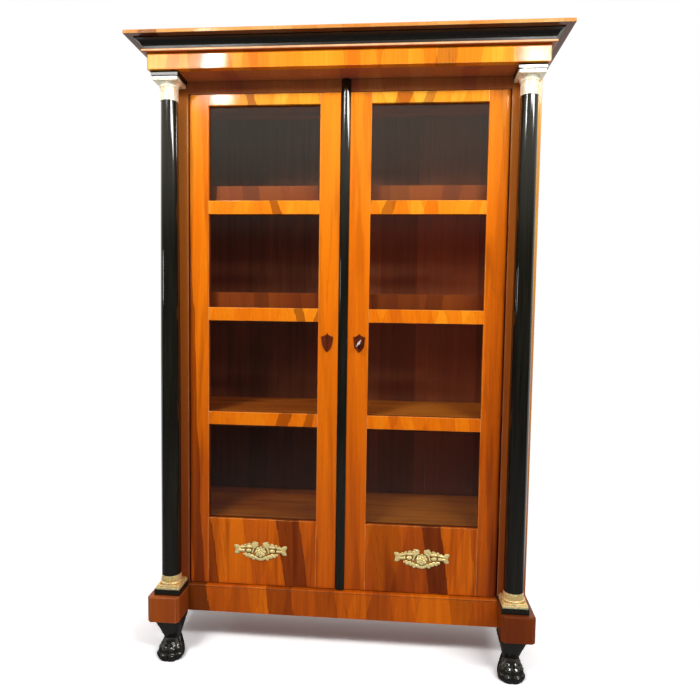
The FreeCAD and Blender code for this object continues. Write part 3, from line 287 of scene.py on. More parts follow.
def veneer_colour(
    tree, seed, band, dark_share=0.0, contrast=1.0, lift=0.0,
    across="X", along="Z", lean=1.0, foot=0.0, flame=0.0, dark_end=None,
):
    """Colour of polished cherry veneer: bands of even tone with clean, leaning edges, some of them dark
    heartwood, soft flames, thin dark lines and fine grain, painted light towards the top and painted shade
    towards the foot, perhaps a painted shadow at one end. Returns colour and grain."""
    def stretched(cross, length):
        scale = [length if axis == along else cross for axis in "XYZ"]
        return tree.mapped(scale, place=place)

    split = tree.parts(tree.place)
    place = tree.mapped((1, 1, 1), (seed, seed * 0.7, seed * 0.3))
    sway = tree.noise(stretched(30, 5), detail=1.0)
    broad = tree.noise(stretched(10, 1.2), detail=1.0)
    grain = tree.noise(stretched(150, 3), detail=3.0, distortion=0.3)
    runs = []
    picks = []
    for slope in BAND_SLOPES:
        leaning = (split[along], slope * lean)
        run = tree.total((split[across], 1.0), leaning, (sway, 0.02), (grain, 0.012))
        run = tree.math("ADD", run, seed + slope)
        runs.append(run)
        picks.append(band_picks(tree, run, band))
    # Painted light and shade by height: lighter towards the top, darker towards the foot, more so by foot
    painted_light = tree.span(split["Z"], 0.2, 1.7, low=-0.27 - foot, high=0.20)
    body = tree.total(
        (picks[0]["Green"], 0.30 * contrast), (picks[1]["Green"], 0.22 * contrast),
        (broad, 0.40 * contrast), (grain, 0.28 * contrast), (painted_light, 1.0),
    )
    colour = tree.ramp(tree.math("ADD", body, lift + 0.5 - 0.60 * contrast), CHERRY_TONES)
    heart = 0.0
    for pick, share in zip(picks, (dark_share, dark_share / 2)):
        dark = tree.math("LESS_THAN", pick["Red"], share)
        dark = tree.math("MULTIPLY", dark, tree.span(pick["Blue"], 0.0, 1.0, low=0.35, high=0.95))
        heart = tree.math("MAXIMUM", heart, dark)
    colour = tree.stained(colour, HEARTWOOD, heart)
    if flame:
        tongues = tree.noise(stretched(34, 2.4), detail=2.0, distortion=0.5)
        colour = tree.stained(colour, FLAME_BROWN, tree.span(tongues, 0.5, 0.66, high=flame))
    # Painted shadow at one end, with a leaning edge
    if dark_end is not None:
        in_painted_shadow = tree.math("LESS_THAN", runs[0], seed + PAINTED_SHADOW_SHIFT + dark_end)
        colour = tree.stained(colour, BLOCK_PAINTED_SHADOW, tree.math("MULTIPLY", in_painted_shadow, 0.85))
    joints = bands(tree, runs[0], band / 4, "DISTANCE_TO_EDGE")["Distance"]
    joint = tree.span(joints, 0.0, 0.07, low=1.0, high=0.0)
    shown = tree.span(tree.noise(stretched(22, 2), detail=1.0), 0.56, 0.6, high=0.55 * contrast)
    colour = tree.stained(colour, JOINT_BROWN, tree.math("MULTIPLY", joint, shown))
    return colour, grain


def polished(tree, colour, grain, tint=None, worn=PALE_WEAR_AND_HIGHLIGHT, keyhole=None, edge=EDGE_RADIUS):
    """Shellac over veneer: fine pores, a stain (in some materials painted shade or light), edges pale with wear
    and a painted highlight, a clear shine, painted shade inside a keyhole.
    """
    pores = tree.noise(tree.mapped((1300, 1300, 45)), detail=2.0)
    colour = tree.stained(colour, PORE_BROWN, tree.span(pores, 0.56, 0.75, high=0.3))
    if tint is not None:
        colour = tree.stained(colour, tint)
    patches = tree.noise(tree.mapped((40, 40, 12)), detail=2.0)
    rubbed_and_painted_light = tree.span(patches, 0.35, 0.6, low=0.2, high=0.8)
    # Edges: wear, and a painted highlight along the arrises
    colour = tree.mix(tree.math("MULTIPLY", tree.edges(edge), rubbed_and_painted_light), colour, worn)
    if keyhole is not None:
        away = tree.vector_math("DISTANCE", tree.place, keyhole)["Value"]
        # Painted shade inside the keyhole
        colour = tree.mix(tree.math("LESS_THAN", away, KEYHOLE_REACH), colour, KEYHOLE_PAINTED_SHADE)
    tree.relief(pores, 0.04, 0.2 * MM)
    rough = tree.span(grain, 0.3, 0.7, low=0.06, high=0.12)
    return tree.finish(Base_Color=colour, Roughness=rough, Specular_IOR_Level=0.2, IOR=1.5)


def veneer(name, finish=None, **layout):
    """Polished cherry veneer, with a layout of its bands and any special finish."""
    tree = new_tree(name)
    colour, grain = veneer_colour(tree, **layout)
    return polished(tree, colour, grain, **(finish or {}))


def top_board():
    """Cornice top: the edge with upright grain, the upper face with grain from side to side, painted shade on
    the underside.
    """
    tree = new_tree("cherry_top")
    edge, grain = veneer_colour(tree, seed=3.3, band=0.08, dark_share=0.12, contrast=0.7)
    edge = tree.stained(edge, TOP_EDGE_STAIN)
    face, face_grain = veneer_colour(
        tree, seed=5.1, band=0.09, dark_share=0.04, contrast=0.6, lift=-0.1,
        across="Y", along="X", lean=0.1, flame=0.5,
    )
    upward = tree.math("GREATER_THAN", tree.facing("Z"), 0.5)
    colour = tree.mix(upward, edge, face)
    # Painted shade on the underside
    underside_painted_shade = tree.math("LESS_THAN", tree.facing("Z"), -0.5)
    colour = tree.stained(colour, UNDERSIDE_PAINTED_SHADE, underside_painted_shade)
    return polished(tree, colour, tree.mix(upward, grain, face_grain))


def bead_with_painted_highlight():
    """Rounded bead under the cove: dark stained, with a painted highlight along its crown."""
    tree = new_tree("cherry_bead")
    colour, grain = veneer_colour(tree, seed=3.3, band=0.08, dark_share=0.1, contrast=0.6, lift=-0.2)
    colour = tree.stained(colour, BEAD_STAIN)
    slope = tree.facing("Z")
    # Painted highlight along the crown
    crown = tree.math("MULTIPLY", tree.span(slope, -0.75, -0.45), tree.span(slope, 0.70, 0.40))
    patches = tree.noise(tree.mapped((30, 30, 30)), detail=2.0)
    rubbed_and_painted_light = tree.span(patches, 0.35, 0.65, low=0.75, high=1.0)
    colour = tree.mix(tree.math("MULTIPLY", crown, rubbed_and_painted_light), colour, BEAD_PAINTED_HIGHLIGHT)
    return polished(tree, colour, grain)


def corner_post(column_x):
    """Pilaster veneer: painted shade beside the door, painted light on the strip outside the column."""
    tree = new_tree("cherry_post")
    colour, grain = veneer_colour(tree, seed=12.5, band=0.03, contrast=0.5, lean=0.2)
    across = tree.math("ABSOLUTE", tree.parts(tree.place)["X"])
    start, end = POST_PAINTED_LIGHT_SPAN
    # Painted shade beside the door, painted light on the strip outside the column
    painted_light = tree.span(across, column_x + start, column_x + end)
    tint = tree.mix(painted_light, POST_INNER_PAINTED_SHADE, POST_OUTER_PAINTED_LIGHT)
    return polished(tree, colour, grain, tint, BROWN_WEAR_AND_HIGHLIGHT)


def ebonised(name, rough, gloss=0.5):
    """Black polished hardwood with a trace of brown grain."""
    tree = new_tree(name)
    grain = tree.noise(tree.mapped((160, 160, 5)))
    wear = tree.noise(tree.mapped((18, 18, 11)), detail=3.0)
    colour = tree.ramp(grain, EBONISED_TONES)
    tree.relief(grain, 0.03, 0.3 * MM, 1.0 * MM)
    rough = tree.span(wear, 0.3, 0.7, low=rough, high=rough + 0.08)
    return tree.finish(Base_Color=colour, Roughness=rough, Specular_IOR_Level=gloss, IOR=1.5)


def gilt(name, rubbed_and_painted_light, crown, metallic, back=None, rough=0.22):
    """Fire-gilt brass, pale from wear on the heights, brown where dirt lies in the hollows; a higher paleness
    setting makes it paler all over, which on the capitals is painted light. A mount's back plane gives the
    height of its relief: hollows darker with dirt and painted shade, painted light on faces turned to the
    front and painted shade on flanks turned from it."""
    tree = new_tree(name)
    cloud = tree.noise(tree.mapped((70, 70, 70)), detail=3.0)
    grit = tree.noise(tree.mapped((900, 900, 900)), detail=2.0)
    point = tree.add("ShaderNodeNewGeometry").outputs["Pointiness"]
    worn = tree.total((tree.span(point, 0.44, 0.56), 0.75), (cloud, 0.5))
    if back is not None:
        level = tree.parts(tree.place)["Y"]
        # Hollows darker with dirt and painted shade, heights paler with wear
        raised = tree.span(level, back - MOUNT_HOLLOW, back - MOUNT_HEIGHT, low=-0.84, high=0.14)
        own_normal = tree.add("ShaderNodeTexCoord").outputs["Normal"]
        # Painted light on faces turned to the front, painted shade on flanks
        painted_light_by_facing = tree.span(tree.parts(own_normal)["Y"], -0.95, -0.4, low=0.14, high=-0.42)
        worn = tree.math("ADD", tree.math("ADD", worn, raised), painted_light_by_facing)
    colour = tree.ramp(tree.math("ADD", worn, rubbed_and_painted_light), GILT_TONES + [(GILT_CROWN_AT, crown)])
    tree.relief(grit, 0.15, 0.2 * MM, 0.4 * MM)
    rough = tree.span(cloud, 0.3, 0.7, low=rough, high=rough + 0.16)
    return tree.finish(Base_Color=colour, Metallic=metallic, Roughness=rough)


def inside_wood():
    """Brown stained softwood of the inside."""
    tree = new_tree("inside_wood")
    grain = tree.noise(tree.mapped((2.2, 45, 45)), detail=5.0, distortion=0.8)
    blotch = tree.noise(tree.mapped((6, 9, 9)), detail=2.0, distortion=0.5)
    colour = tree.ramp(tree.total((grain, 0.7), (blotch, 0.5)), INSIDE_TONES)
    tree.relief(grain, 0.12, 0.4 * MM)
    rough = tree.span(grain, 0.2, 0.8, low=0.42, high=0.6)
    return tree.finish(Base_Color=colour, Roughness=rough, Specular_IOR_Level=0.15)


def lipped_shelf():
    """Shelf boards of brown softwood, grain from side to side, painted light towards the right, with a veneered
    lip in front darkened by painted shade.
    """
    tree = new_tree("shelf_wood")
    grain = tree.noise(tree.mapped((2.2, 38, 38)), distortion=0.8)
    blotch = tree.noise(tree.mapped((5, 12, 9)), detail=2.0, distortion=0.5)
    across = tree.parts(tree.place)["X"]
    # Painted light towards the right
    painted_side_light = tree.span(across, -0.25, 0.25, low=-0.08, high=0.2, smooth=True)
    board = tree.ramp(tree.total((grain, 0.6), (blotch, 0.6), (painted_side_light, 1.0)), SHELF_TONES)
    lip, lip_grain = veneer_colour(tree, seed=11.3, band=0.045, dark_share=0.2, contrast=0.7, lift=-0.1)
    # Painted shade on the lip
    lip = tree.stained(lip, LIP_PAINTED_SHADE)
    front = tree.math("LESS_THAN", tree.facing("Y"), -0.5)
    tree.relief(grain, 0.1, 0.4 * MM)
    rough = tree.span(lip_grain, 0.3, 0.7, low=0.32, high=0.5)
    return tree.finish(Base_Color=tree.mix(front, board, lip), Roughness=rough, Specular_IOR_Level=0.2)


def back_planks(level):
    """Upright back boards: red-brown stain inside with painted light towards the right, darker towards the
    bottom and painted shade at the top; bare softwood outside, beyond a level.
    """
    tree = new_tree("back_planks")
    split = tree.parts(tree.place)
    grain = tree.noise(tree.mapped((60, 60, 2)), detail=5.0, distortion=0.8)
    blotch = tree.noise(tree.mapped((8, 8, 3)), detail=2.0, distortion=0.5)
    plank = band_picks(tree, split["X"], PLANK_WIDTH)["Red"]
    fac = tree.total((grain, 0.45), (blotch, 0.45), (plank, 0.35))
    # Painted light towards the right
    painted_side_light = tree.span(split["X"], -0.25, 0.25, low=-0.1, high=0.16, smooth=True)
    inside = tree.ramp(tree.math("ADD", fac, painted_side_light), BACK_INNER_TONES)
    # Darker towards the bottom; painted shade at the top
    darker_low_down = tree.span(split["Z"], 0.3, 0.9, low=0.75, high=0.0)
    painted_top_shade = tree.span(split["Z"], 1.32, 1.48, high=0.7, smooth=True)
    inside = tree.stained(inside, DARKENING_AND_PAINTED_SHADE, tree.math("MAXIMUM", darker_low_down, painted_top_shade))
    outside = tree.ramp(fac, BACK_OUTER_TONES)
    outer = tree.math("GREATER_THAN", split["Y"], level)
    tree.relief(grain, 0.2, 0.5 * MM)
    rough = tree.span(grain, 0.2, 0.8, low=0.4, high=0.65)
    return tree.finish(
        Base_Color=tree.mix(outer, inside, outside), Roughness=rough, Specular_IOR_Level=0.15,
    )


def steel(name, tones, metallic):
    """Filed steel, slightly brown with age."""
    tree = new_tree(name)
    lines = tree.noise(tree.mapped((400, 400, 40)), detail=3.0)
    spots = tree.noise(tree.mapped((90, 90, 90)), detail=3.0)
    colour = tree.ramp(spots, tones)
    tree.relief(lines, 0.15, 0.2 * MM, 0.5 * MM)
    rough = tree.span(lines, 0.3, 0.7, low=0.2, high=0.36)
    return tree.finish(Base_Color=colour, Metallic=metallic, Roughness=rough)


def inlay():
    """Dark polished hardwood of the keyhole shields."""
    tree = new_tree("dark_inlay")
    cloud = tree.noise(tree.mapped((160, 160, 30)))
    colour = tree.ramp(cloud, INLAY_TONES)
    tree.relief(cloud, 0.08, 0.3 * MM, 0.6 * MM)
    rough = tree.span(cloud, 0.3, 0.7, low=0.16, high=0.3)
    return tree.finish(Base_Color=colour, Roughness=rough, Specular_IOR_Level=0.3)


def glass():
    """Thin old glass: clear, with a weak wavy reflection."""
    tree = new_tree("old_glass")
    wave = tree.noise(tree.mapped((5, 5, 7)), detail=1.0)
    bump = tree.add("ShaderNodeBump", {"Height": wave, "Strength": 0.12, "Distance": 4 * MM})
    gloss = tree.add("ShaderNodeBsdfGlossy", {"Roughness": 0.02, "Normal": bump.outputs["Normal"]})
    clear = tree.add("ShaderNodeBsdfTransparent", {"Color": GLASS_TINT})
    grazing = tree.add("ShaderNodeLayerWeight", {"Blend": 0.25}).outputs["Fresnel"]
    share = tree.span(grazing, 0.0, 1.0, low=0.022, high=0.7)
    return tree.finish_mixed(share, clear, gloss)


def door_veneers():
    """Cherry veneers of the doors: hinge stile, closing stile with painted shade in its keyhole, bars and
    bottom panel.
    """
    shield_low, shield_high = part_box("right_door_escutcheon")
    shield_middle = (shield_low + shield_high) / 2
    lock = (shield_middle.x, shield_high.y, shield_middle.z - KEYHOLE_DROP)
    # The hinge stiles get extra painted shade towards the foot
    upright = veneer(
        "cherry_upright", seed=2.0, band=0.03, dark_share=0.17, contrast=0.8, lift=0.06,
        lean=0.35, foot=0.22, flame=0.6,
    )
    closing = veneer(
        "cherry_closing", {"keyhole": lock}, seed=6.0, band=0.04, contrast=0.68, lift=0.05,
        lean=0.3, foot=0.05, flame=0.4,
    )
    bars = veneer(
        "cherry_bars", seed=1.3, band=0.04, dark_share=0.12, contrast=0.8, lift=0.14, lean=2.4,
    )
    panel = veneer("cherry_panel", seed=4.2, band=0.07, dark_share=0.1, lift=0.06, lean=1.4, flame=0.7)
    return {
        "hinge_stile": upright, "closing_stile": closing, "top_rail": bars, "glazing_bars": bars,
        "bottom_panel": panel,
    }


def case_veneers():
    """Cherry veneers of the case, from the cornice down to the plinth."""
    shaft_low, shaft_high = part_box("column_shaft_right")
    post = corner_post(shaft_low.x / 2 + shaft_high.x / 2)
    # Edge of the painted shadow of the left block on the front rail
    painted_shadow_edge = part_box("plinth_block_left")[1].x + PAINTED_SHADOW_WIDTH
    # Painted shade for the soffit and head rail, which lie under the cornice
    painted_shade_finish = {"tint": PAINTED_SHADE_UMBER, "worn": DARK_WEAR_AND_HIGHLIGHT}
    russet = {"tint": RUSSET, "worn": BROWN_WEAR_AND_HIGHLIGHT, "edge": BLOCK_EDGE_RADIUS}
    # Painted shade: a darker copy of the block veneer for the right block
    painted_shade_block_finish = {"tint": RIGHT_BLOCK_PAINTED_SHADE, "worn": DARK_WEAR_AND_HIGHLIGHT}
    frieze = veneer("cherry_frieze", seed=7.1, band=0.045, dark_share=0.06, contrast=0.85, lift=-0.03)
    shade = veneer("cherry_painted_shade", painted_shade_finish, seed=9.4, band=0.07, contrast=0.55, lift=-0.24)
    plinth = veneer(
        "cherry_plinth", seed=6.3, band=0.07, dark_share=0.26, lift=0.05,
        lean=1.4, flame=0.25, dark_end=painted_shadow_edge,
    )
    block = veneer("cherry_block", russet, seed=8.2, band=0.07, contrast=0.5, lift=-0.05)
    painted_shade_block = veneer("cherry_block_painted_shade", painted_shade_block_finish, seed=4.6, band=0.07, contrast=0.5, lift=-0.05)
    side = veneer(
        "cherry_side", seed=3.7, band=0.06, dark_share=0.04, contrast=0.55,
        across="Y", lean=0.15, flame=0.5,
    )
    return {
        "cornice_top": top_board(), "cornice_bead": bead_with_painted_highlight(), "frieze": frieze,
        "soffit_board": shade, "head_rail": shade, "pilaster_left": post, "pilaster_right": post,
        "side_panel_left": side, "side_panel_right": side, "plinth_rails": side,
        "plinth_front_rail": plinth, "plinth_block_left": block, "plinth_block_right": painted_shade_block,
    }


def dress_frame():
    """Give every CAD node its material, and return those of the carved, turned and stamped pieces."""
    black = ebonised("ebonised_polish", 0.05)
    carved_black = ebonised("ebonised_carving", 0.06, gloss=0.8)
    gold = gilt("gilt_brass", 0.16, GILT_CROWN, metallic=0.5)
    mount_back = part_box("left_door_mount")[1].y
    mount_gold = gilt("gilt_mount", 0.54, MOUNT_CROWN, metallic=0.34, back=mount_back, rough=0.12)
    # Paler gilt for the capitals: painted light
    painted_light_gold = gilt("gilt_painted_light", 0.47, CAPITAL_PAINTED_LIGHT_CROWN, metallic=0.2)
    shelf = lipped_shelf()
    inside = inside_wood()
    by_name = case_veneers()
    by_name["cornice_cove"] = ebonised("ebonised_satin", 0.30)
    by_name["back_boards"] = back_planks(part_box("back_boards")[1].y - MM)
    # Near-white key: a painted glint
    by_name["key"] = steel("key_steel", KEY_PAINTED_GLINT_TONES, metallic=0.2)
    by_name["right_door_astragal"] = black
    by_ending = door_veneers()
    by_ending["panes"] = glass()
    by_ending["glazing_beads"] = inside
    by_ending["escutcheon"] = inlay()
    by_ending["pivot_plates"] = gold
    iron = steel("filed_steel", STEEL_TONES, metallic=1.0)
    by_slot = {"ebonised_wood": black, "gilt_brass": gold, "stained_softwood": inside, "steel": iron}
    slots = {entry["node"]: entry["material_slot"] for entry in frame["record"]["subparts"]}
    for name, node in nodes.items():
        ending = name.split("_door_")[-1]
        material = by_name.get(name) or by_ending.get(ending) or by_slot[slots[name]]
        if name.startswith("shelf_") and name != "shelf_cleats":
            material = shelf
        node.data.materials.clear()
        node.data.materials.append(material)
    return carved_black, gold, painted_light_gold, mount_gold


def add_piece(name, vertices, faces, material, body, slot, *replaced):
    """A finished mesh on its body, in place of the CAD nodes it refines."""
    mesh = bpy.data.meshes.new(name)
    mesh.from_pydata(vertices, [], faces)
    mesh.update()
    mesh.shade_smooth()
    mesh.set_sharp_from_angle(angle=SHARP_ANGLE)
    mesh.materials.append(material)
    piece = bpy.data.objects.new(name, mesh)
    bpy.context.collection.objects.link(piece)
    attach(piece, body)
    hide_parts(*replaced)


def ring(centre, level, half_width, half_depth, power, count, swell):
    """Points round a level outline: power 2 is round, a high power is a square with eased corners."""
    points = []
    for index in range(count):
        angle = 2 * math.pi * index / count
        across = math.cos(angle)
        along = math.sin(angle)
        reach = (abs(across) ** power + abs(along) ** power) ** (-1 / power)
        reach *= 1 + swell(angle, level)
        x = centre[0] + half_width * reach * across
        y = centre[1] + half_depth * reach * along
        points.append((x, y, level))
    return points


def stack(rings):
    """Vertices and faces of a skin over a pile of rings, closed at both ends."""
    count = len(rings[0])
    vertices = [point for points in rings for point in points]
    faces = []
    for layer in range(len(rings) - 1):
        start = layer * count
        for index in range(count):
            after = (index + 1) % count
            faces.append((start + index, start + after, start + count + after, start + count + index))
    faces.append(tuple(reversed(range(count))))
    top = (len(rings) - 1) * count
    faces.append(tuple(range(top, top + count)))
    return vertices, faces


# Columns' gilt bases and capitals: lengths in millimetres, heights counted from the foot of each
SQUARE = 24.0
ROUND = 2.0
EASE = 0.6
FITTING_POINTS = 216
PLATE_HALF = 36
BASE_STEP_HALF = 33
BASE_PLATE_TOP = 7
BASE_STEP_TOP = 12
BASE_ROUND_TOP = 19
BASE_BELL_FOOT = 19.4
BASE_BELL_RISE = 14.8
BASE_RING_FOOT = 34.4
BASE_TOP = 36.9
CAPITAL_NECK = [(0, 24.6), (0.4, 25.2), (2.4, 25.2), (3, 24.5), (20, 24.6), (36, 24.8)]
CAPITAL_RING_FOOT = 36.6
CAPITAL_RING_TOP = 40.4
CAPITAL_BELL_FOOT = 41
CAPITAL_BELL_RISE = 8.8
CAPITAL_PLATE_DROP = 11
CAPITAL_CAP_DROP = 1.6
CAPITAL_CAP_HALF = 32


def square_levels(low, high, half):
    """Rings of a square plate with eased edges: height, half width and power of each."""
    return [
        (low, half - EASE, SQUARE), (low + EASE, half, SQUARE),
        (high - EASE, half, SQUARE), (high, half - EASE, SQUARE),
    ]


def arc_levels(low, high, radius, bulge, steps=9):
    """Rings of a turned round: height, radius and power of each."""
    levels = []
    for step in range(steps):
        turn = math.pi * step / (steps - 1)
        height = low + (high - low) * (1 - math.cos(turn)) / 2
        levels.append((height, radius + bulge * math.sin(turn), ROUND))
    return levels


def bell_levels(low, rise, radius, spread, curve, steps):
    """Rings of a turned bell, which spreads or narrows upwards: height, radius and power of each."""
    levels = []
    for step in range(steps):
        share = step / (steps - 1)
        levels.append((low + rise * share, radius + spread * share ** curve, ROUND))
    return levels


def base_levels(floor):
    """Rings of a base: two square plates, a round, a ribbed bell and a thin ring."""
    levels = square_levels(floor, floor + BASE_PLATE_TOP, PLATE_HALF)
    levels += square_levels(floor + BASE_PLATE_TOP, floor + BASE_STEP_TOP, BASE_STEP_HALF)
    levels += arc_levels(floor + BASE_STEP_TOP, floor + BASE_ROUND_TOP, radius=30.2, bulge=2.4)
    bell = {"radius": 30.0, "spread": -2.2, "curve": 0.7, "steps": 15}
    levels += bell_levels(floor + BASE_BELL_FOOT, BASE_BELL_RISE, **bell)
    levels += arc_levels(floor + BASE_RING_FOOT, floor + BASE_TOP, radius=27.6, bulge=0.7)
    levels.append((floor + BASE_TOP, 27.3, ROUND))
    return levels


def capital_levels(floor, top):
    """Rings of a capital: a smooth neck with a fillet, a thin ring, a bell of eggs, a square plate and cap."""
    levels = [(floor + height, radius, ROUND) for height, radius in CAPITAL_NECK]
    levels += arc_levels(floor + CAPITAL_RING_FOOT, floor + CAPITAL_RING_TOP, radius=25.4, bulge=1.2)
    bell = {"radius": 25.6, "spread": 8.0, "curve": 1.7, "steps": 11}
    levels += bell_levels(floor + CAPITAL_BELL_FOOT, CAPITAL_BELL_RISE, **bell)
    shoulder = top - CAPITAL_CAP_DROP
    levels += square_levels(top - CAPITAL_PLATE_DROP, shoulder, PLATE_HALF)
    levels += [(shoulder, CAPITAL_CAP_HALF, SQUARE), (top, CAPITAL_CAP_HALF, SQUARE)]
    return levels


def ribbed(start, rise, waves, depth, trough):
    """Upright ribs round a bell, strongest half way up: a swell for each angle and level."""
    def swell(angle, level):
        height = (level / MM - start) / rise
        if not 0 < height < 1:
            return 0.0
        rib = abs(math.cos(waves * angle))
        return depth * math.sin(math.pi * height) * (rib - trough)
    return swell


def turned(centre, levels, swell):
    """Skin of a turned fitting over its levels."""
    rings = []
    for height, radius, power in levels:
        rings.append(ring(centre, height * MM, radius * MM, radius * MM, power, FITTING_POINTS, swell))
    return stack(rings)


def column_fittings(gold, painted_light_gold):
    """Gilt base and capital of each column: square plates, turned rings, ribbed bells."""
    for side in SIDES:
        low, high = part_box(f"column_base_{side}")
        centre = ((low.x + high.x) / 2, (low.y + high.y) / 2)
        floor = low.z / MM
        ribs = ribbed(floor + BASE_BELL_FOOT, BASE_BELL_RISE, waves=9, depth=0.035, trough=0.35)
        skin = turned(centre, base_levels(floor), ribs)
        add_piece(f"gilt_base_{side}", *skin, gold, "carcase", "gilt_brass", f"column_base_{side}")

        low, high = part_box(f"column_capital_{side}")
        floor = low.z / MM
        eggs = ribbed(floor + CAPITAL_BELL_FOOT, CAPITAL_BELL_RISE, waves=10, depth=0.03, trough=0.5)
        skin = turned(centre, capital_levels(floor, high.z / MM), eggs)
        replaced = f"column_capital_{side}"
        add_piece(f"gilt_capital_{side}", *skin, painted_light_gold, "carcase", "gilt_brass", replaced)


# Paws: height, half width, half depth and setback in millimetres, then height and corner power
PAW_STATIONS = [
    (0, 33.5, 35.5, -2.5), (2, 35.4, 37.4, -2.5), (9, 36.8, 38.8, -2.5), (18, 36.4, 38.0, -1.6),
    (27, 34.6, 36.0, -0.4), (36, 32.0, 33.0, 1.6), (46, 28.4, 29.2, 4.2), (54, 25.0, 25.6, 6.2),
    (59, 22.8, 23.2, 7.0), (61, 22.8, 23.2, 7.0), (116, 36.9, 36.9, 0.0), (117, 37.4, 37.4, 0.0),
    (120, 37.4, 37.4, 0.0),
]
PAW_CORNERS = [(0, 2.3), (44, 2.4), (60, 3.0), (90, 5.0), (120, 12.0)]
PAW_HEIGHT = 120
PAW_ANKLE = 60
PAW_HALF = 37.5
PAW_STEPS = 132
PAW_POINTS = 180

# Toes: angles round the front, then spread round it, swell, height and spread upwards of each lobe
TOE_ANGLES = [-1.08, -0.37, 0.37, 1.08]
TOE_LOBES = [(0.30, 0.10, 13, 9), (0.30, 0.11, 34, 7), (0.13, 0.07, 19, 3.5), (0.13, 0.06, 45, 4)]
GROOVE_ANGLES = [-1.45, -0.72, 0.0, 0.72, 1.45]
GROOVE_SPREAD = 0.09
GROOVE_DEPTH = 0.10
GROOVE_HEIGHT = 20
GROOVE_REACH = 21


def between(table, at):
    """Values of a table at a height, in proportion between its rows."""
    for first, second in zip(table, table[1:]):
        if at <= second[0]:
            share = (at - first[0]) / (second[0] - first[0])
            return [a + (b - a) * share for a, b in zip(first[1:], second[1:])]
    return list(table[-1][1:])


def hump(offset, spread, power=2):
    """One in the middle of a soft hump, falling to zero past its spread."""
    return math.exp(-(offset / spread) ** power)


def paw_swell(angle, level):
    """Toes, knuckles and claws on the front of a paw."""
    height = level / MM
    if height > PAW_ANKLE:
        return 0.0
    turn = math.atan2(math.cos(angle), -math.sin(angle))
    whole = 0.0
    for toe in TOE_ANGLES:
        for spread, swell, middle, rise in TOE_LOBES:
            whole += hump(turn - toe, spread) * swell * hump(height - middle, rise)
    for groove in GROOVE_ANGLES:
        valley = hump(turn - groove, GROOVE_SPREAD)
        whole -= GROOVE_DEPTH * valley * hump(height - GROOVE_HEIGHT, GROOVE_REACH, 4)
    return whole


def paw_feet(black):
    """Carved lion's paws: a leg drawn in to the ankle, four toes with knuckles and claws."""
    for side in SIDES:
        low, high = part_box(f"paw_foot_{side}")
        centre_x = (low.x + high.x) / 2
        centre_y = high.y - PAW_HALF * MM
        rings = []
        for step in range(PAW_STEPS + 1):
            height = PAW_HEIGHT * step / PAW_STEPS
            half_width, half_depth, back = between(PAW_STATIONS, height)
            size = (half_width * MM, half_depth * MM)
            power = between(PAW_CORNERS, height)[0]
            centre = (centre_x, centre_y + back * MM)
            rings.append(ring(centre, height * MM, *size, power, PAW_POINTS, paw_swell))
        add_piece(f"carved_paw_{side}", *stack(rings), black, "carcase", "ebonised_wood", f"paw_foot_{side}")


# Mounts, in millimetres across and up from the middle. Leaves: start, end, width
MOUNT_LEAVES = [((62, 5), (81.5, 18), 7.0), ((62, 4), (80, -9), 7.0)]
LEAF_TAPER = 0.75
LEAF_RIM = 1.2
LEAF_RISE = 2.4
LEAF_VEIN = 0.9
LEAF_VEIN_WIDTH = 0.7

# Bundles, ribbons and the plates between them: start, end, width, rise
MOUNT_TUBES = [
    ((51, 12.5), (64, 10.0), 3.8, 3.4), ((29, 14.0), (40, 13.5), 4.4, 3.8),
    ((52, 2.0), (65, 1.5), 5.0, 4.0), ((33, 2.5), (39, 2.5), 5.8, 4.8),
    ((64, 5.0), (74, 5.0), 4.5, 1.2), ((22, 6.0), (25, -3.0), 3.2, 2.2),
    ((51, -10.0), (45, -8.5), 4.0, 2.6), ((43, -14.5), (35, -10.0), 4.8, 3.2),
    ((32, -16.0), (25, -15.5), 6.0, 3.8), ((22, -22.5), (15, -18.0), 5.2, 3.4),
    ((11, -20.5), (6, -23.0), 5.6, 4.2), ((1, -24.5), (0, -20.0), 4.6, 4.6),
    ((0, -8), (44, -5), 9, 0.0), ((0, 8), (30, 9), 8, 0.0), ((44, 3), (66, 5), 8, 0.0),
]
TUBE_RIM = 0.8

# Blossoms and the rosette: middle, reach, petals, rise
MOUNT_BLOSSOMS = [
    ((17.0, 19.5), 12.2, 5, 3.0), ((35, 20.0), 6.4, 3, 2.2), ((47, 17.5), 5.6, 3, 2.0),
    ((57, 14.5), 4.6, 3, 1.8),
]
BLOSSOM_RIM = 0.9
ROSETTE_MIDDLE = (0, -0.5)
ROSETTE_REACH = 17.5
ROSETTE_MOAT = 1.4
ROSETTE_PETALS = 8
ROSETTE_RISE = 3.9

# Grid of the relief
MOUNT_STEP = 0.75
MOUNT_COLUMNS = 224
MOUNT_ROWS = 88
MOUNT_RIM = 0.7


def dome(offset, reach):
    """Height of a round dome of height one, at an offset from its middle."""
    return math.sqrt(max(0.0, 1 - (offset / reach) ** 2))


def leaf_shape(u, v, start, end, width):
    """Distance into a pointed leaf and its raised height."""
    du = end[0] - start[0]
    dv = end[1] - start[1]
    length = math.hypot(du, dv)
    along = ((u - start[0]) * du + (v - start[1]) * dv) / (length * length)
    off = ((u - start[0]) * dv - (v - start[1]) * du) / length
    inside = width * max(0.0, 4 * along * (1 - along)) ** LEAF_TAPER - abs(off)
    if inside <= 0:
        return inside, 0.0
    vein = LEAF_VEIN * math.exp(-(off / LEAF_VEIN_WIDTH) ** 2)
    return inside, LEAF_RIM + LEAF_RISE * math.sqrt(inside / width) - vein


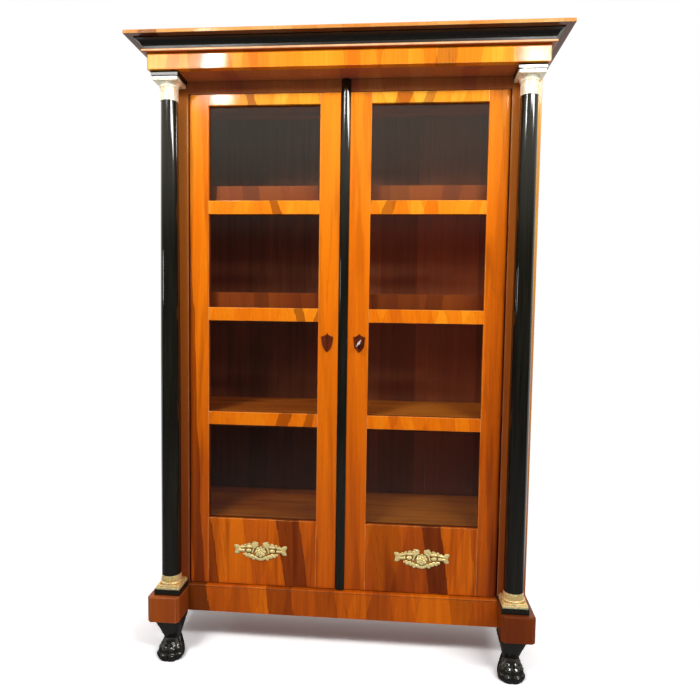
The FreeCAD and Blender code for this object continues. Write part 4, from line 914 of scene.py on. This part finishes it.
def tube_shape(u, v, start, end, width, rise):
    """Distance into a rounded bar and its raised height."""
    du = end[0] - start[0]
    dv = end[1] - start[1]
    along = max(0.0, min(1.0, ((u - start[0]) * du + (v - start[1]) * dv) / (du * du + dv * dv)))
    gap = math.hypot(u - start[0] - du * along, v - start[1] - dv * along)
    inside = width - gap
    if inside <= 0:
        return inside, 0.0
    return inside, TUBE_RIM + rise * dome(gap, width)


def blossom_shape(u, v, middle, reach, petals, rise):
    """Distance into an open flower and its raised height: outer petals, inner petals between them, heart."""
    du = u - middle[0]
    dv = v - middle[1]
    radius = math.hypot(du, dv)
    turn = petals * math.atan2(dv, du) / 2
    lobe = abs(math.cos(turn))
    inside = reach * (0.84 + 0.16 * lobe) - radius
    if inside <= 0:
        return inside, 0.0
    share = radius / reach
    inner_lobe = abs(math.sin(turn))
    outer = (0.35 + 0.65 * lobe ** 0.6) * dome(share - 0.7, 0.42)
    inner = 1.25 * (0.45 + 0.55 * inner_lobe ** 0.6) * dome(share - 0.36, 0.24)
    heart = 1.5 * dome(share, 0.2)
    return inside, BLOSSOM_RIM + rise * max(outer, inner, heart)


def mount_relief(u, v):
    """How far inside the mount's outline a place lies, and how high the relief stands there."""
    across = abs(u)
    shapes = [leaf_shape(across, v, *leaf) for leaf in MOUNT_LEAVES]
    shapes += [tube_shape(across, v, *tube) for tube in MOUNT_TUBES]
    shapes += [blossom_shape(across, v, *blossom) for blossom in MOUNT_BLOSSOMS]
    inside = max(depth for depth, height in shapes)
    raised = max(height for depth, height in shapes)
    if math.hypot(u - ROSETTE_MIDDLE[0], v - ROSETTE_MIDDLE[1]) < ROSETTE_REACH + ROSETTE_MOAT:
        raised = min(raised, TUBE_RIM)
    rosette = (ROSETTE_MIDDLE, ROSETTE_REACH, ROSETTE_PETALS, ROSETTE_RISE)
    rosette_inside, rosette_raised = blossom_shape(u, v, *rosette)
    return max(inside, rosette_inside), max(raised, rosette_raised)


def mount_place(corner):
    """Where a corner of the grid lies on the mount."""
    column, row = corner
    return (column - MOUNT_COLUMNS / 2) * MOUNT_STEP, (row - MOUNT_ROWS / 2) * MOUNT_STEP


def mount_grid():
    """Height of the relief at each corner of the grid, and the cells that lie in the mount's outline."""
    heights = {}
    covered = set()
    for column in range(MOUNT_COLUMNS + 1):
        for row in range(MOUNT_ROWS + 1):
            inside, height = mount_relief(*mount_place((column, row)))
            heights[column, row] = max(height, MOUNT_RIM)
            if inside > 0:
                covered.add((column, row))
    cells = []
    for column in range(MOUNT_COLUMNS):
        for row in range(MOUNT_ROWS):
            corners = [(column, row), (column + 1, row), (column + 1, row + 1), (column, row + 1)]
            if sum(corner in covered for corner in corners) >= 3:
                cells.append(corners)
    return heights, cells


def open_edges(cells):
    """Edges that only one cell has."""
    edges = {}
    for corners in cells:
        for first, second in zip(corners, corners[1:] + corners[:1]):
            edges[first, second] = True
    return [edge for edge in edges if (edge[1], edge[0]) not in edges]


def gilt_mounts(gold):
    """Stamped gilt mounts on the bottom panels: rosette, two blossoms, tied bundles, ribbon ends and leaves."""
    heights, cells = mount_grid()
    rim = open_edges(cells)
    used = sorted({corner for corners in cells for corner in corners})
    skirt = sorted({corner for edge in rim for corner in edge})
    number = {corner: index for index, corner in enumerate(used)}
    foot = {corner: len(used) + index for index, corner in enumerate(skirt)}
    faces = [tuple(number[corner] for corner in corners) for corners in cells]
    faces += [(number[a], foot[a], foot[b], number[b]) for a, b in rim]
    for door in SIDES:
        low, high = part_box(f"{door}_door_mount")
        centre_x = (low.x + high.x) / 2
        centre_z = (low.z + high.z) / 2
        vertices = []
        for corner in used:
            u, v = mount_place(corner)
            vertices.append((centre_x + u * MM, high.y - heights[corner] * MM, centre_z + v * MM))
        for corner in skirt:
            u, v = mount_place(corner)
            vertices.append((centre_x + u * MM, high.y, centre_z + v * MM))
        add_piece(
            f"stamped_mount_{door}", vertices, faces, gold, f"{door}_door", "gilt_brass", f"{door}_door_mount",
        )


# Viewpoint: angles in radians, place in metres from the middle, the doors' face and the floor
CAMERA_YAW = -0.082539
CAMERA_PITCH = 0.062240
CAMERA_ROLL = 0.0143156
CAMERA_SIDE = 0.1603
CAMERA_DISTANCE = 1.6878
CAMERA_HEIGHT = 1.0299
FRAME_PIXELS = 700
FOCAL_PIXELS = 580
SENSOR_WIDTH = 36
CLIP_START = 0.05

# Lamps: name, place, aim, width, height, power, and whether glossy surfaces mirror it
CASE_FRONT = (0, -0.1, 1.2)
LAMPS = [
    ("left_soft", (-0.95, -1.85, 2.35), CASE_FRONT, 0.9, 0.6, 23, False),
    ("left_lamp", (-0.885, -1.8, 2.37), CASE_FRONT, 0.10, 0.27, 9, True),
    ("left_glow", (-1.25, -1.75, 2.37), CASE_FRONT, 0.55, 0.20, 4.2, True),
    ("right_lamp", (0.84, -1.79, 2.38), CASE_FRONT, 0.14, 0.16, 2.4, True),
    ("right_window", (1.70, -1.75, 2.42), (1.1, -0.1, 1.9), 1.8, 0.25, 50, True),
    ("side_window", (-2.4, -0.7, 1.25), (0, -0.15, 1.25), 0.16, 0.3, 2.2, True),
    ("back_soft", (0.4, 2.8, 2.0), (0, 0.2, 0.9), 1.6, 1.6, 36, False),
]

# Floor and room: sizes in metres, brightness where white is one
FLOOR_REACH = 8.0
FLOOR_FADE = 0.7
FLOOR_SEEN = 1.7
FLOOR_MIRRORED = 0.2
FLOOR_BOUNCE = 0.5
ROOM_BOUNCE = 0.22
ROOM_WARMTH = (1.0, 0.95, 0.80, 1)
WHITE = (1, 1, 1, 1)


def place_camera():
    """The photograph's viewpoint, found by fitting the case's edges."""
    door_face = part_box("right_door_bottom_panel")[0].y
    ahead = math.cos(CAMERA_PITCH)
    forward = Vector((math.sin(CAMERA_YAW) * ahead, math.cos(CAMERA_YAW) * ahead, -math.sin(CAMERA_PITCH)))
    level = Vector((math.cos(CAMERA_YAW), -math.sin(CAMERA_YAW), 0))
    upright = level.cross(forward)
    right = math.cos(CAMERA_ROLL) * level + math.sin(CAMERA_ROLL) * upright
    up = -math.sin(CAMERA_ROLL) * level + math.cos(CAMERA_ROLL) * upright
    lens = bpy.data.cameras.new("camera")
    lens.sensor_width = SENSOR_WIDTH
    lens.lens = SENSOR_WIDTH * FOCAL_PIXELS / FRAME_PIXELS
    lens.clip_start = CLIP_START
    camera = bpy.data.objects.new("camera", lens)
    turn = Matrix((right, up, -forward)).transposed().to_4x4()
    place = (CAMERA_SIDE, door_face - CAMERA_DISTANCE, CAMERA_HEIGHT)
    camera.matrix_world = Matrix.Translation(place) @ turn
    bpy.context.collection.objects.link(camera)
    bpy.context.scene.camera = camera


def area_light(name, place, aim, width, height, power, mirrored):
    """A lamp with a rectangular face, turned towards a point, with or without its mirror image."""
    data = bpy.data.lights.new(name, "AREA")
    data.shape = "RECTANGLE"
    data.size = width
    data.size_y = height
    data.energy = power
    lamp = bpy.data.objects.new(name, data)
    lamp.location = place
    lamp.rotation_euler = (Vector(aim) - Vector(place)).to_track_quat("-Z", "Y").to_euler()
    lamp.visible_glossy = mirrored
    bpy.context.collection.objects.link(lamp)


def ray_kinds(tree):
    """The kinds of rays by name, and one for those that see the background, straight on or through glass."""
    path = tree.add("ShaderNodeLightPath").outputs
    seen = tree.math("MAXIMUM", path["Is Camera Ray"], path["Is Transmission Ray"])
    return path, seen


def floor_material():
    """A pale floor that keeps the shadow near the case and runs out to white."""
    tree = new_tree("pale_floor")
    path, seen = ray_kinds(tree)
    glossy = path["Is Glossy Ray"]
    behind = tree.span(tree.parts(tree.place)["Y"], -0.1, 0.5, smooth=True)
    seen = tree.math("MAXIMUM", seen, tree.math("MULTIPLY", glossy, behind))
    past = tree.vector_math("ABSOLUTE", tree.place)["Vector"]
    past = tree.vector_math("SUBTRACT", past, (cad_high.x, cad_high.y, 0))["Vector"]
    past = tree.vector_math("MAXIMUM", past)["Vector"]
    away = tree.vector_math("LENGTH", past)["Value"]
    white = tree.math("MULTIPLY", tree.span(away, 0.0, FLOOR_FADE, smooth=True), seen)
    dim = tree.span(glossy, 0.0, 1.0, low=FLOOR_BOUNCE, high=FLOOR_MIRRORED)
    level = tree.span(path["Is Camera Ray"], 0.0, 1.0, low=dim, high=FLOOR_SEEN)
    grey = tree.add("ShaderNodeCombineXYZ", {0: level, 1: level, 2: level})
    matt = tree.add("ShaderNodeBsdfDiffuse", {"Color": grey.outputs["Vector"]})
    glow = tree.add("ShaderNodeEmission", {"Strength": 1.0})
    return tree.finish_mixed(white, matt, glow)


def make_floor():
    """A wide square under the case."""
    corners = [(-1, -1), (1, -1), (1, 1), (-1, 1)]
    vertices = [(x * FLOOR_REACH, y * FLOOR_REACH, 0) for x, y in corners]
    mesh = bpy.data.meshes.new("floor")
    mesh.from_pydata(vertices, [], [(0, 1, 2, 3)])
    mesh.materials.append(floor_material())
    floor = bpy.data.objects.new("floor", mesh)
    bpy.context.collection.objects.link(floor)


def make_world():
    """White to the eye, a white side behind the case for its metal and glass, a dim room in front of it."""
    world = bpy.data.worlds.new("studio")
    bpy.context.scene.world = world
    tree = Tree(world)
    path, seen = ray_kinds(tree)
    glossy = path["Is Glossy Ray"]
    split = tree.parts(tree.add("ShaderNodeTexCoord").outputs["Generated"])
    wall = tree.span(split["Z"], 0.10, 0.30, low=0.06, high=0.9, smooth=True)
    upper = tree.span(split["Z"], 0.36, 0.62, low=1.0, high=0.08, smooth=True)
    room = tree.math("MULTIPLY", wall, upper)
    behind = tree.span(split["Y"], -0.05, 0.25, smooth=True)
    mirrored = tree.span(behind, 0.0, 1.0, low=room, high=1.0)
    level = tree.span(glossy, 0.0, 1.0, low=ROOM_BOUNCE, high=mirrored)
    level = tree.span(seen, 0.0, 1.0, low=level, high=1.0)
    tree.finish(Color=tree.mix(glossy, WHITE, ROOM_WARMTH), Strength=level)


def light_stage():
    """Soft lamps high in front, left and right, with small ones for their shine, one beside and one behind."""
    make_floor()
    make_world()
    for lamp in LAMPS:
        area_light(*lamp)


def main():
    bpy.context.scene.view_settings.view_transform = "Standard"
    carved_black, gold, painted_light_gold, mount_gold = dress_frame()
    column_fittings(gold, painted_light_gold)
    paw_feet(carved_black)
    gilt_mounts(mount_gold)
    place_camera()
    light_stage()


main()
